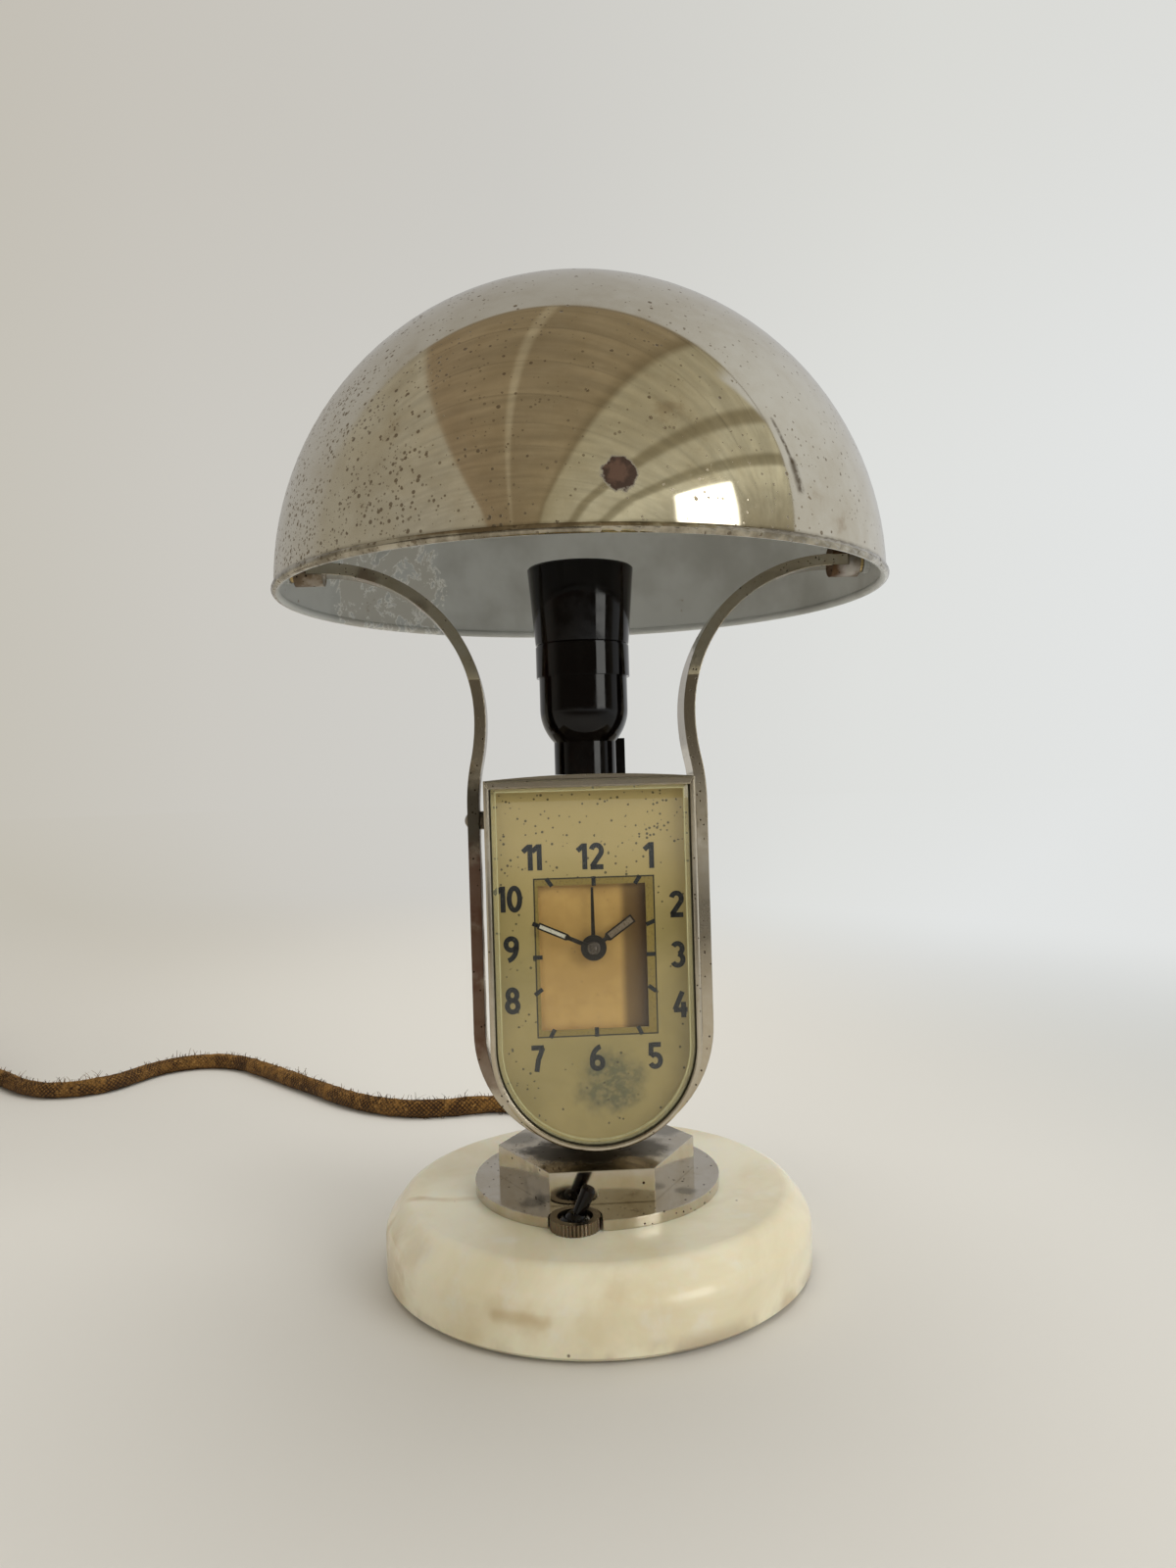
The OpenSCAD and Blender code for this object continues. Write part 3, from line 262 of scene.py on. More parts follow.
def is_socket(value):
    return isinstance(value, bpy.types.NodeSocket)


def fill(n, inputs):
    """Links or sets a node's inputs; colours are given without their alpha."""
    for key, value in inputs.items():
        if is_socket(value):
            n.id_data.links.new(value, n.inputs[key])
        else:
            n.inputs[key].default_value = value + (1,) if n.inputs[key].type == "RGBA" else value


def add(kind, inputs, tree=None, **settings):
    """Node with its inputs, in the same tree as the sockets that are linked to it."""
    tree = tree or next(filter(is_socket, inputs.values())).id_data
    n = tree.nodes.new("ShaderNode" + kind)
    for key, value in settings.items():
        setattr(n, key, value)
    fill(n, inputs)
    return n


def feed(sockets, **values):
    """Links values to sockets, whose names have spaces where these have underscores."""
    for key, value in values.items():
        value.id_data.links.new(value, sockets[key.replace("_", " ")])


def maths(operation, a, b=None, clamp=False):
    inputs = {0: a} if b is None else {0: a, 1: b}
    return add("Math", inputs, operation=operation, use_clamp=clamp).outputs[0]


def times(a, b):
    return maths("MULTIPLY", a, b)


def plus(a, b):
    return maths("ADD", a, b)


def minus(a, b):
    return maths("SUBTRACT", a, b)


def larger(a, b):
    return maths("MAXIMUM", a, b)


def vectors(operation, a, b=(0.0, 0.0, 0.0)):
    n = add("VectorMath", {0: a, 1: b}, operation=operation)
    return n.outputs["Value" if operation in ("DISTANCE", "DOT_PRODUCT", "LENGTH") else "Vector"]


def scaled(vector, factor):
    return add("VectorMath", {0: vector, "Scale": factor}, operation="SCALE").outputs["Vector"]


def parts_of(vector):
    return add("SeparateXYZ", {0: vector}).outputs


def blended(factor, a, b):
    return add("Mix", {"Factor": factor, 6: a, 7: b}, data_type="RGBA").outputs[2]


def between(value, low, high, to_low=0.0, to_high=1.0):
    """Soft step from one value to the other."""
    n = add("MapRange", {"Value": value, "From Min": low, "From Max": high,
                         "To Min": to_low, "To Max": to_high}, interpolation_type="SMOOTHSTEP")
    return n.outputs["Result"]


def colour_ramp(value, stops):
    """Colours at places along a value."""
    low, high = stops[0][0], stops[-1][0]
    along = add("MapRange", {"Value": value, "From Min": low, "From Max": high}).outputs["Result"]
    ramp = add("ValToRGB", {0: along})
    elements = ramp.color_ramp.elements
    while len(elements) < len(stops):
        elements.new(0.5)
    for element, (at, colour) in zip(elements, stops):
        element.position = (at - low) / (high - low)
        element.color = colour + (1,)
    return ramp.outputs[0]


def grain(place, scale, detail=4.0, roughness=0.55, distortion=0.0):
    return add("TexNoise", {"Vector": place, "Scale": scale, "Detail": detail,
                            "Roughness": roughness, "Distortion": distortion}).outputs["Fac"]


def bumped(height, distance, strength=1.0, **more):
    inputs = {"Height": height, "Distance": distance, "Strength": strength, **more}
    return add("Bump", inputs).outputs["Normal"]


def new_group(name, inputs, outputs):
    group = bpy.data.node_groups.new(name, "ShaderNodeTree")
    for label, kind, default in inputs:
        socket = group.interface.new_socket(label, in_out="INPUT", socket_type="NodeSocket" + kind)
        if default is not None:
            socket.default_value = default
    for label, kind in outputs:
        group.interface.new_socket(label, in_out="OUTPUT", socket_type="NodeSocket" + kind)
    return group, group.nodes.new("NodeGroupInput").outputs, group.nodes.new("NodeGroupOutput").inputs


def placed(group, **inputs):
    """The outputs of a node group that is placed with these inputs."""
    n = next(filter(is_socket, inputs.values())).id_data.nodes.new("ShaderNodeGroup")
    n.node_tree = group
    fill(n, inputs)
    return n.outputs


def new_material(name, **constants):
    """Material with one Principled shader whose even values sit on its own sockets."""
    material = bpy.data.materials.new(name)
    material.use_nodes = True
    tree = material.node_tree
    shader = tree.nodes["Principled BSDF"]
    for key, value in constants.items():
        shader.inputs[key.replace("_", " ")].default_value = value
    place = tree.nodes.new("ShaderNodeTexCoord").outputs["Object"]
    return material, shader.inputs, place


# Shared effects

def make_pits():
    """Round pits of many sizes, thicker in some places than in others."""
    group, given, out = new_group(
        "plating_pits",
        [("Vector", "Vector", None), ("Scale", "Float", 400.0), ("Amount", "Float", 0.3),
         ("Size", "Float", 0.3)],
        [("Pits", "Float"), ("Height", "Float")])
    cells = add("TexVoronoi", {"Vector": given["Vector"], "Scale": given["Scale"]})
    chance = add("SeparateColor", {0: cells.outputs["Color"]}).outputs
    patchy = grain(given["Vector"], 60.0, 3.0)
    wanted = times(given["Amount"], between(patchy, 0.38, 0.66, 0.3, 1.6))
    chosen = maths("LESS_THAN", chance[0], wanted)
    reach = times(given["Size"], plus(times(chance[1], 0.9), 0.25))
    inside = between(minus(cells.outputs["Distance"], reach), -0.08, 0.02, 1.0, 0.0)
    mask = times(inside, chosen)
    feed(out, Pits=mask, Height=minus(1.0, mask))
    return group


def make_tarnish():
    """Cloudy staining in two sizes."""
    group, given, out = new_group(
        "cloudy_tarnish",
        [("Vector", "Vector", None), ("Scale", "Float", 30.0), ("Amount", "Float", 0.5)],
        [("Stain", "Float"), ("Cloud", "Float")])
    wide = grain(given["Vector"], given["Scale"], 5.0, 0.6, 0.4)
    fine = grain(given["Vector"], times(given["Scale"], 7.0), 4.0, 0.65)
    both = plus(times(wide, 0.7), times(fine, 0.3))
    edge = minus(0.72, times(given["Amount"], 0.3))
    feed(out, Stain=between(minus(both, edge), -0.03, 0.07), Cloud=both)
    return group


def make_spot():
    """Mask that is 1 near a point and fades at its uneven edge."""
    group, given, out = new_group(
        "stain_spot",
        [("Vector", "Vector", None), ("Centre", "Vector", (0.0, 0.0, 0.0)), ("Inner", "Float", 0.005),
         ("Reach", "Float", 0.01), ("Uneven", "Float", 0.01), ("Scale", "Float", 300.0)],
        [("Mask", "Float")])
    away = vectors("DISTANCE", given["Vector"], given["Centre"])
    shift = times(minus(grain(given["Vector"], given["Scale"]), 0.5), given["Uneven"])
    mask = between(plus(away, shift), given["Inner"], given["Reach"], 1.0, 0.0)
    feed(out, Mask=mask)
    return group


def make_line_distance():
    """Distance from a straight line between two places."""
    group, given, out = new_group(
        "line_distance",
        [("Vector", "Vector", None), ("Start", "Vector", (0.0, 0.0, 0.0)),
         ("End", "Vector", (0.0, 0.0, 1.0))],
        [("Away", "Float")])
    along = vectors("SUBTRACT", given["End"], given["Start"])
    here = vectors("SUBTRACT", given["Vector"], given["Start"])
    share = maths("DIVIDE", vectors("DOT_PRODUCT", here, along),
                  vectors("DOT_PRODUCT", along, along), clamp=True)
    feed(out, Away=vectors("DISTANCE", here, scaled(along, share)))
    return group


def make_room_tone():
    """Pale wall tone with painted light: warm and darker at the left where the lamp's shadow falls, light
    at the right towards the window, a little darker high up.
    """
    group, given, out = new_group("room_tone", [("Direction", "Vector", None)], [("Color", "Color")])
    way = parts_of(given["Direction"])
    # Painted shade at the left and painted light at the right
    wall = colour_ramp(way["X"], [
        (-0.5, (0.545, 0.515, 0.445)), (-0.28, (0.60, 0.58, 0.535)), (0.0, (0.64, 0.635, 0.61)),
        (0.3, (0.735, 0.745, 0.725)), (0.5, (0.765, 0.78, 0.775))])
    high = times(between(way["Z"], 0.22, 0.55), 0.8)
    tone = add("Mix", {"Factor": high, 6: wall, 7: (0.93, 0.915, 0.89)}, data_type="RGBA",
               blend_type="MULTIPLY").outputs[2]
    feed(out, Color=tone)
    return group


pits_group = make_pits()
tarnish_group = make_tarnish()
spot_group = make_spot()
line_group = make_line_distance()
room_tone_group = make_room_tone()


def spot(place, centre, reach, soft, uneven, scale):
    """Stain with its centre and reach in millimetres; soft and uneven are shares of the reach."""
    return placed(spot_group, Vector=place, Centre=mm(centre), Inner=reach * (1 - soft) * MM,
                  Reach=reach * MM, Uneven=reach * uneven * MM, Scale=scale)["Mask"]


LINE_CORE = 0.2


def line_away(place, start, end):
    """Distance from a line whose ends are given in millimetres."""
    return placed(line_group, Vector=place, Start=mm(start), End=mm(end))["Away"]


# Metals

PIT_BROWN = (0.05, 0.035, 0.02)
# The dome, in millimetres: its middle, where its paint ends and its nickel begins, and its beaded rim
DOME_MIDDLE = (0.0, 0.0, 246.5)
DOME_SKIN = (109.3, 109.5)
BEAD_Z = (249.0, 247.4)
# Dark streaks on the dome: two ends and width
STREAKS = [((58.5, -90.8, 269), (60.5, -90.8, 261), 2.3), ((53, -90.2, 282), (58.5, -90.8, 269), 1.1)]


def tinted(colour, *factors):
    """The colour with each of its parts multiplied."""
    return tuple(c * k for c, k in zip(colour, factors))


def aged_nickel(name, colour, rough, pit_scale, pit_amount, stain, stains_and_shade=(), edge=0.35):
    """Worn nickel; stains and patches of painted shade are (place, reach, strength, colour) and edges are
    rounded, in millimetres.
    """
    material, shader, place = new_material(name, Metallic=1.0)
    pits = placed(pits_group, Vector=place, Scale=pit_scale, Amount=pit_amount, Size=0.32)
    cloud = placed(tarnish_group, Vector=place, Scale=34.0, Amount=stain)
    base = blended(between(cloud["Cloud"], 0.35, 0.65), colour, tinted(colour, 0.86, 0.82, 0.74))
    base = blended(times(cloud["Stain"], 0.55), base, (0.16, 0.10, 0.05))
    dull = times(cloud["Stain"], 0.25)
    # Stains and painted shade, each darkening the colour near its place
    for centre, reach, strength, tint in stains_and_shade:
        mask = times(spot(place, centre, reach, 0.6, 1.2, 130.0), strength)
        base = blended(mask, base, tint)
        dull = larger(dull, times(mask, 0.3))
    base = blended(pits["Pits"], base, PIT_BROWN)
    spread = plus(between(cloud["Cloud"], 0.3, 0.7, rough * 0.75, rough * 1.3), dull)
    soft_edge = add("Bevel", {"Radius": edge * MM}, material.node_tree, samples=4).outputs[0]
    feed(shader, Base_Color=base, Roughness=plus(spread, times(pits["Pits"], 0.4)),
         Normal=bumped(pits["Height"], 0.05 * MM, 0.5, Normal=soft_edge))
    return material


def dome_plating(place, pitted, cloud):
    """Colour of the dome's outside, with two dark streaks at the right and a dirty rim."""
    nickel = blended(between(cloud["Cloud"], 0.35, 0.65), (0.70, 0.655, 0.545), (0.60, 0.54, 0.42))
    nickel = blended(times(cloud["Stain"], 0.4), nickel, (0.30, 0.20, 0.11))
    nickel = blended(times(pitted, 0.85), nickel, (0.13, 0.08, 0.04))
    ragged = between(grain(place, 420.0, 4.0, 0.7), 0.3, 0.55, 0.3, 1.0)
    for start, end, wide in STREAKS:
        streak = between(line_away(place, start, end), LINE_CORE * MM, wide * MM, 0.85, 0.0)
        nickel = blended(times(streak, ragged), nickel, (0.09, 0.06, 0.03))
    bead = between(parts_of(place)["Z"], BEAD_Z[0] * MM, BEAD_Z[1] * MM)
    worn = between(grain(place, 120.0, 4.0, 0.65), 0.35, 0.62, 0.35, 0.85)
    return blended(times(bead, worn), nickel, (0.17, 0.14, 0.095))


def dome_paint(place, flaking):
    """Colour of the dome's inside: pale paint, lifted and peeled at the back left, dirty by the rim."""
    cloudy = grain(place, 22.0, 4.0, 0.6)
    paint = blended(between(cloudy, 0.4, 0.7), (0.56, 0.575, 0.565), (0.42, 0.425, 0.405))
    paint = blended(between(flaking, 0.40, 0.44), paint, (0.82, 0.82, 0.79))
    paint = blended(between(flaking, 0.44, 0.47), paint, (0.54, 0.53, 0.49))
    dirt = between(grain(place, 130.0, 5.0, 0.7), 0.66, 0.74)
    near_rim = between(parts_of(place)["Z"], 0.247, 0.275, 1.0, 0.1)
    return blended(times(dirt, near_rim), paint, (0.30, 0.24, 0.18))


def dome_nickel():
    """Nickel outside with many pits at the left and one brown blemish, pale old paint inside."""
    material, shader, place = new_material("dome_nickel_and_paint")
    away = vectors("DISTANCE", place, mm(DOME_MIDDLE))
    outside = between(away, DOME_SKIN[0] * MM, DOME_SKIN[1] * MM)
    where = parts_of(place)
    left = between(where["X"], -0.10, 0.0, 1.0, 0.08)
    low = between(where["Z"], 0.245, 0.34, 1.0, 0.35)
    thick = times(left, low)
    pits = placed(pits_group, Vector=place, Scale=520.0, Amount=times(thick, 1.2), Size=0.36)
    small = placed(pits_group, Vector=place, Scale=780.0, Amount=plus(thick, 0.14), Size=0.36)
    pitted = larger(times(pits["Pits"], 0.8), times(small["Pits"], 0.6))
    cloud = placed(tarnish_group, Vector=place, Scale=26.0, Amount=0.35)
    nickel = dome_plating(place, pitted, cloud)
    blemish = spot(place, (5.8, -107.6, 261.2), 5.6, 0.2, 0.7, 380.0)
    ring = spot(place, (5.2, -107.6, 261.8), 4.3, 0.5, 1.3, 600.0)
    rust = blended(ring, (0.045, 0.022, 0.013), (0.105, 0.055, 0.035))
    nickel = blended(blemish, nickel, rust)
    peel_here = spot(place, (-70, 60, 258), 52, 0.5, 0.5, 40.0)
    flaking = times(grain(place, 95.0, 5.0, 0.7, 0.6), peel_here)
    sheen = between(cloud["Cloud"], 0.3, 0.7, 0.025, 0.085)
    sheen = plus(sheen, times(between(where["X"], -0.045, -0.085), 0.15))
    sheen = plus(sheen, times(larger(pitted, blemish), 0.45))
    matt = times(minus(1.0, outside), 0.6)
    peeled = times(between(flaking, 0.44, 0.47), 1.2)
    relief = minus(minus(pits["Height"], peeled), times(blemish, grain(place, 900.0)))
    feed(shader, Base_Color=blended(outside, dome_paint(place, flaking), nickel),
         Metallic=times(outside, minus(1.0, times(blemish, 0.9))),
         Roughness=plus(times(outside, sheen), matt),
         Normal=bumped(relief, 0.06 * MM, 0.35))
    return material


def plain_metal(name, colour, rough):
    """Turned or cut metal of the inner pieces, a little dull."""
    material, shader, place = new_material(name, Metallic=1.0)
    cloud = placed(tarnish_group, Vector=place, Scale=60.0, Amount=0.4)
    base = blended(between(cloud["Cloud"], 0.35, 0.65), colour, tinted(colour, 0.72, 0.72, 0.72))
    base = blended(times(cloud["Stain"], 0.5), base, tinted(colour, 0.35, 0.35, 0.35))
    feed(shader, Base_Color=base,
         Roughness=between(cloud["Cloud"], 0.3, 0.7, rough * 0.8, rough * 1.35),
         Normal=bumped(grain(place, 2080.0, 3.0), 0.02 * MM, 0.4))
    return material


# Marble, felt, bakelite, porcelain, glass

# Veins: two ends, width and strength; patches: centre, reach and strength
VEINS = [((-78, -14, 17), (-66, -10, 27.2), 3.6, 0.6), ((-68, -9, 27.6), (-46, -12, 27.6), 3.4, 0.45),
         ((-36, -69, 13.5), (-22, -75, 13), 3.4, 0.5)]
PATCHES = [((-76, -16, 16), 8, 0.65), ((-70, -34, 5), 13, 0.5), ((-74, -26, 10), 17, 0.5),
           ((-66, -40, 22), 12, 0.3), ((-26, -74, 13), 9, 0.3), ((-36, -69, 15), 7, 0.25),
           ((60, -50, 2), 11, 0.5), ((2, -76, 21), 7, 0.28), ((20, -55, 27), 9, 0.25),
           ((-45, -60, 4), 10, 0.3)]


def bent_by(place, scale, detail, middle, reach):
    """The place, pushed about by a noise; the noise's middle value leaves it where it is."""
    push = add("TexNoise", {"Vector": place, "Scale": scale, "Detail": detail}).outputs["Color"]
    push = vectors("SUBTRACT", push, (middle, middle, middle))
    return vectors("ADD", place, vectors("MULTIPLY", push, (reach, reach, reach)))


def ivory_marble():
    """Creamy marble with brown veins and patches, darker brown in patches towards its foot."""
    material, shader, place = new_material(
        "ivory_marble", IOR=1.5, Coat_Roughness=0.07, Subsurface_Weight=0.25, Subsurface_Scale=0.006)
    soft = grain(place, 14.0, 5.0, 0.6, 0.6)
    mottle = grain(place, 70.0, 4.0, 0.6)
    base = blended(between(soft, 0.35, 0.68), (0.91, 0.85, 0.65), (0.76, 0.67, 0.45))
    base = blended(times(between(mottle, 0.5, 0.75), 0.5), base, (0.85, 0.82, 0.73))
    bent = bent_by(place, 16.0, 4.0, 0.0, 0.03)
    ridge = maths("ABSOLUTE", minus(grain(bent, 13.0, 3.0, 0.55), 0.5))
    broken = between(grain(place, 20.0, 3.0), 0.45, 0.62)
    faint = times(between(ridge, 0.0, 0.016, 1.0, 0.0), broken)
    base = blended(times(faint, 0.1), base, (0.52, 0.38, 0.19))
    # Darker brown in patches towards the foot
    darker_foot = times(between(parts_of(place)["Z"], 2.0 * MM, 9.0 * MM, 1.0, 0.0),
                   between(grain(place, 35.0, 4.0), 0.42, 0.62))
    base = blended(times(darker_foot, 0.6), base, (0.30, 0.21, 0.12))
    wavy = bent_by(place, 60.0, 3.0, 0.5, 0.007)
    for start, end, wide, strength in VEINS:
        vein = between(line_away(wavy, start, end), LINE_CORE * MM, wide * MM, strength, 0.0)
        base = blended(vein, base, (0.52, 0.36, 0.15))
    for centre, reach, strength in PATCHES:
        mask = times(spot(place, centre, reach, 0.95, 1.5, 120.0), strength)
        base = blended(mask, base, (0.56, 0.41, 0.20))
    pits = placed(pits_group, Vector=place, Scale=210.0, Amount=0.05, Size=0.14)["Pits"]
    height = minus(times(mottle, 0.3), pits)
    feed(shader, Base_Color=blended(pits, base, (0.13, 0.09, 0.055)),
         Roughness=between(mottle, 0.3, 0.7, 0.28, 0.45),
         Coat_Weight=between(soft, 0.3, 0.7, 0.7, 0.45), Normal=bumped(height, 0.12 * MM, 0.4))
    return material


def green_felt():
    material, shader, place = new_material("green_felt", Roughness=0.95, Sheen_Weight=0.3)
    fuzz = grain(place, 1600.0, 4.0, 0.7)
    feed(shader, Base_Color=blended(fuzz, (0.035, 0.05, 0.03), (0.09, 0.11, 0.07)),
         Normal=bumped(fuzz, 0.2 * MM))
    return material


def polished_bakelite(name, colour, rough):
    """Dark bakelite with brown clouds and a little dust."""
    material, shader, place = new_material(name, IOR=1.5, Specular_IOR_Level=0.26)
    cloud = grain(place, 35.0, 4.0, 0.6, 0.8)
    base = blended(between(cloud, 0.52, 0.72), colour, tinted(colour, 3.6, 2.0, 1.5))
    dust = times(between(grain(place, 1500.0, 2.0), 0.74, 0.8), 0.35)
    worn = grain(place, 120.0, 4.0, 0.65)
    feed(shader, Base_Color=blended(dust, base, (0.14, 0.13, 0.115)),
         Roughness=between(worn, 0.35, 0.75, rough * 0.6, rough * 2.2),
         Normal=bumped(grain(place, 260.0, 3.0), 0.015 * MM, 0.5))
    return material


def glazed_porcelain():
    material, shader, place = new_material("glazed_porcelain", Coat_Weight=0.6)
    cloud = grain(place, 90.0, 4.0)
    feed(shader, Base_Color=blended(cloud, (0.74, 0.72, 0.66), (0.60, 0.57, 0.50)),
         Roughness=between(cloud, 0.3, 0.7, 0.15, 0.35))
    return material


# The glass, in millimetres: middle of its round end, top of the case, and half the case's width
GLASS_LOW, CASE_TOP, CASE_HALF = 83.9, 177.0, 36.2
# Distances from its middle line at which the bevel with its painted glint, the glint's bright crest and the
# edge painted dark as the shadow under the bezel lie
BEVEL, CREST, EDGE_SHADOW = (33.0, 33.2), 33.15, (34.8, 35.0)


def bevelled_glass():
    """Clear glass with a painted yellowish glint on its bevel and painted shadow at its edge under the
    bezel; light passes it without a shadow.
    """
    material, shader, place = new_material("bevelled_glass", Transmission_Weight=1.0, IOR=1.46)
    smear = grain(place, 60.0, 4.0)
    feed(shader, Base_Color=blended(smear, (0.985, 0.99, 0.975), (0.97, 0.98, 0.96)),
         Roughness=between(smear, 0.5, 0.8, 0.0, 0.015))
    where = parts_of(place)
    below = maths("MINIMUM", minus(where["Z"], GLASS_LOW * MM), 0.0)
    round_end = maths("SQRT", plus(maths("POWER", where["X"], 2.0), maths("POWER", below, 2.0)))
    rim = larger(round_end, minus(where["Z"], (CASE_TOP - CASE_HALF) * MM))
    from_crest = maths("ABSOLUTE", minus(rim, CREST * MM))
    # Painted light: a yellowish glint along the bevel, brightest at its crest, and painted shadow at the
    # edge under the bezel
    glint_amount = plus(between(grain(place, 240.0, 4.0), 0.3, 0.75, 0.1, 0.26),
                   between(from_crest, 0.12 * MM, 0.3 * MM, 0.5, 0.0))
    on_bevel = times(between(rim, BEVEL[0] * MM, BEVEL[1] * MM), glint_amount)
    on_edge_shadow = between(rim, EDGE_SHADOW[0] * MM, EDGE_SHADOW[1] * MM, 0.0, 0.85)
    tree = material.node_tree
    painted_bevel_glint = add("BsdfDiffuse", {"Color": (0.64, 0.60, 0.34)}, tree).outputs[0]
    painted_edge_shadow = add("BsdfDiffuse", {"Color": (0.035, 0.028, 0.018)}, tree).outputs[0]
    clear = add("BsdfTransparent", {"Color": (0.95, 0.96, 0.94)}, tree).outputs[0]
    rays = tree.nodes.new("ShaderNodeLightPath").outputs
    unseen = larger(rays["Is Shadow Ray"], rays["Is Diffuse Ray"])
    surface = tree.nodes["Principled BSDF"].outputs[0]
    for share, other in ((on_bevel, painted_bevel_glint), (on_edge_shadow, painted_edge_shadow), (unseen, clear)):
        surface = add("MixShader", {0: share, 1: surface, 2: other}).outputs[0]
    feed(tree.nodes["Material Output"].inputs, Surface=surface)
    return material


# Dial, plate, prints and hands

def lacquered_dial():
    """Olive-gold lacquer, painted brighter and warmer at the top as painted light, with dark specks, more
    of them at the top, and a greenish bloom low down.
    """
    material, shader, place = new_material("lacquered_dial", Roughness=0.5, Specular_IOR_Level=0.2)
    where = parts_of(place)
    top = between(where["Z"], 0.115, 0.168)
    left = between(where["X"], -0.012, -0.034)
    low = between(where["Z"], 0.09, 0.07)
    cloud = grain(place, 28.0, 5.0, 0.6, 0.5)
    base = blended(between(cloud, 0.35, 0.66), (0.45, 0.345, 0.14), (0.36, 0.28, 0.105))
    # Painted light: the dial's upper part made brighter and warmer
    base = blended(times(top, 0.7), base, (0.62, 0.47, 0.20))
    bloom = spot(place, (4.6, -17.5, 69.5), 14.5, 0.55, 0.9, 160.0)
    mottled = between(grain(place, 420.0, 4.0, 0.7), 0.35, 0.6, 0.5, 1.0)
    base = blended(times(bloom, mottled), base, (0.155, 0.14, 0.065))
    crowd = plus(times(top, 0.34), times(left, 0.16))
    crowd = plus(plus(crowd, times(low, 0.08)), 0.04)
    specks = placed(pits_group, Vector=place, Scale=800.0, Amount=crowd, Size=0.36)
    flecks = placed(pits_group, Vector=place, Scale=210.0, Amount=plus(times(low, 0.3), 0.1), Size=0.15)
    dark = larger(times(specks["Pits"], 0.85), times(flecks["Pits"], 0.8))
    height = plus(times(grain(place, 900.0, 2.0), 0.3), specks["Height"])
    feed(shader, Base_Color=blended(dark, base, (0.06, 0.05, 0.025)),
         Normal=bumped(height, 0.04 * MM, 0.4))
    return material


def tan_lacquer():
    """Tan plate behind the opening, darkened at the right and at the top where the dial shades it."""
    material, shader, place = new_material("tan_lacquer", Roughness=0.6, Specular_IOR_Level=0.2)
    where = parts_of(place)
    cloud = grain(place, 45.0, 5.0, 0.62)
    base = blended(between(cloud, 0.35, 0.66), (0.64, 0.40, 0.135), (0.52, 0.315, 0.10))
    right = times(between(where["X"], 0.009, 0.0125), between(where["X"], 0.010, 0.021, 0.72, 0.97))
    base = blended(right, base, (0.06, 0.028, 0.01))
    top = times(between(where["Z"], 0.135, 0.141), 0.35)
    base = blended(top, base, (0.26, 0.15, 0.055))
    specks = placed(pits_group, Vector=place, Scale=900.0, Amount=0.07, Size=0.25)["Pits"]
    feed(shader, Base_Color=blended(times(specks, 0.6), base, (0.18, 0.10, 0.05)),
         Normal=bumped(grain(place, 1200.0, 2.0), 0.03 * MM, 0.4))
    return material


def printed_ink(name, colour, under, worn=0.08):
    """Ink or paint with small worn places that show the colour under it."""
    material, shader, place = new_material(name, Roughness=0.55, Specular_IOR_Level=0.15)
    specks = between(grain(place, 1300.0, 3.0, 0.7), 0.66 - worn, 0.72)
    feed(shader, Base_Color=blended(specks, colour, under))
    return material


def dark_card():
    material, shader, place = new_material("dark_card", Roughness=0.85)
    fibre = grain(vectors("MULTIPLY", place, (900.0, 2500.0, 900.0)), 1.0, 3.0)
    feed(shader, Base_Color=blended(fibre, (0.30, 0.27, 0.17), (0.22, 0.19, 0.11)))
    return material


# Braided cord: threads round it, and per metre along it

BRAID_TURNS, BRAID_ALONG = 12.0, 420.0


def brown_braid():
    """Crossed brown threads from the cord's UV, with paler and darker worn places."""
    material, shader, place = new_material("brown_braid", Roughness=0.9)
    uv = parts_of(material.node_tree.nodes.new("ShaderNodeUVMap").outputs["UV"])
    around = times(uv["X"], BRAID_TURNS)
    along = times(uv["Y"], BRAID_ALONG)
    one = maths("PINGPONG", plus(around, along), 0.5)
    two = maths("PINGPONG", minus(around, along), 0.5)
    thread = times(times(one, two), 4.0)
    cloud = placed(tarnish_group, Vector=place, Scale=55.0, Amount=0.6)["Cloud"]
    flock = grain(place, 420.0, 4.0, 0.7)
    base = blended(between(thread, 0.05, 0.55), (0.030, 0.012, 0.002), (0.22, 0.10, 0.018))
    for value, start, end, strength, tint in ((cloud, 0.45, 0.62, 0.6, (0.36, 0.18, 0.04)),
                                              (cloud, 0.47, 0.36, 0.6, (0.04, 0.018, 0.006)),
                                              (flock, 0.56, 0.68, 0.75, (0.46, 0.25, 0.07)),
                                              (flock, 0.44, 0.34, 0.8, (0.03, 0.014, 0.005))):
        base = blended(between(value, start, end, 0.0, strength), base, tint)
    height = plus(thread, times(grain(place, 1500.0, 3.0), 0.6))
    height = plus(height, times(flock, 1.5))
    feed(shader, Base_Color=base, Normal=bumped(height, 0.6 * MM))
    return material


# Finishes; stains and patches of painted shade are (place, reach, strength, colour), in millimetres

RUST, SOOT_AND_SHADE, RED_TARNISH_AND_SHADE = (0.11, 0.06, 0.03), (0.05, 0.045, 0.035), (0.13, 0.06, 0.04)
WHITE_CHIP = (0.62, 0.60, 0.57)
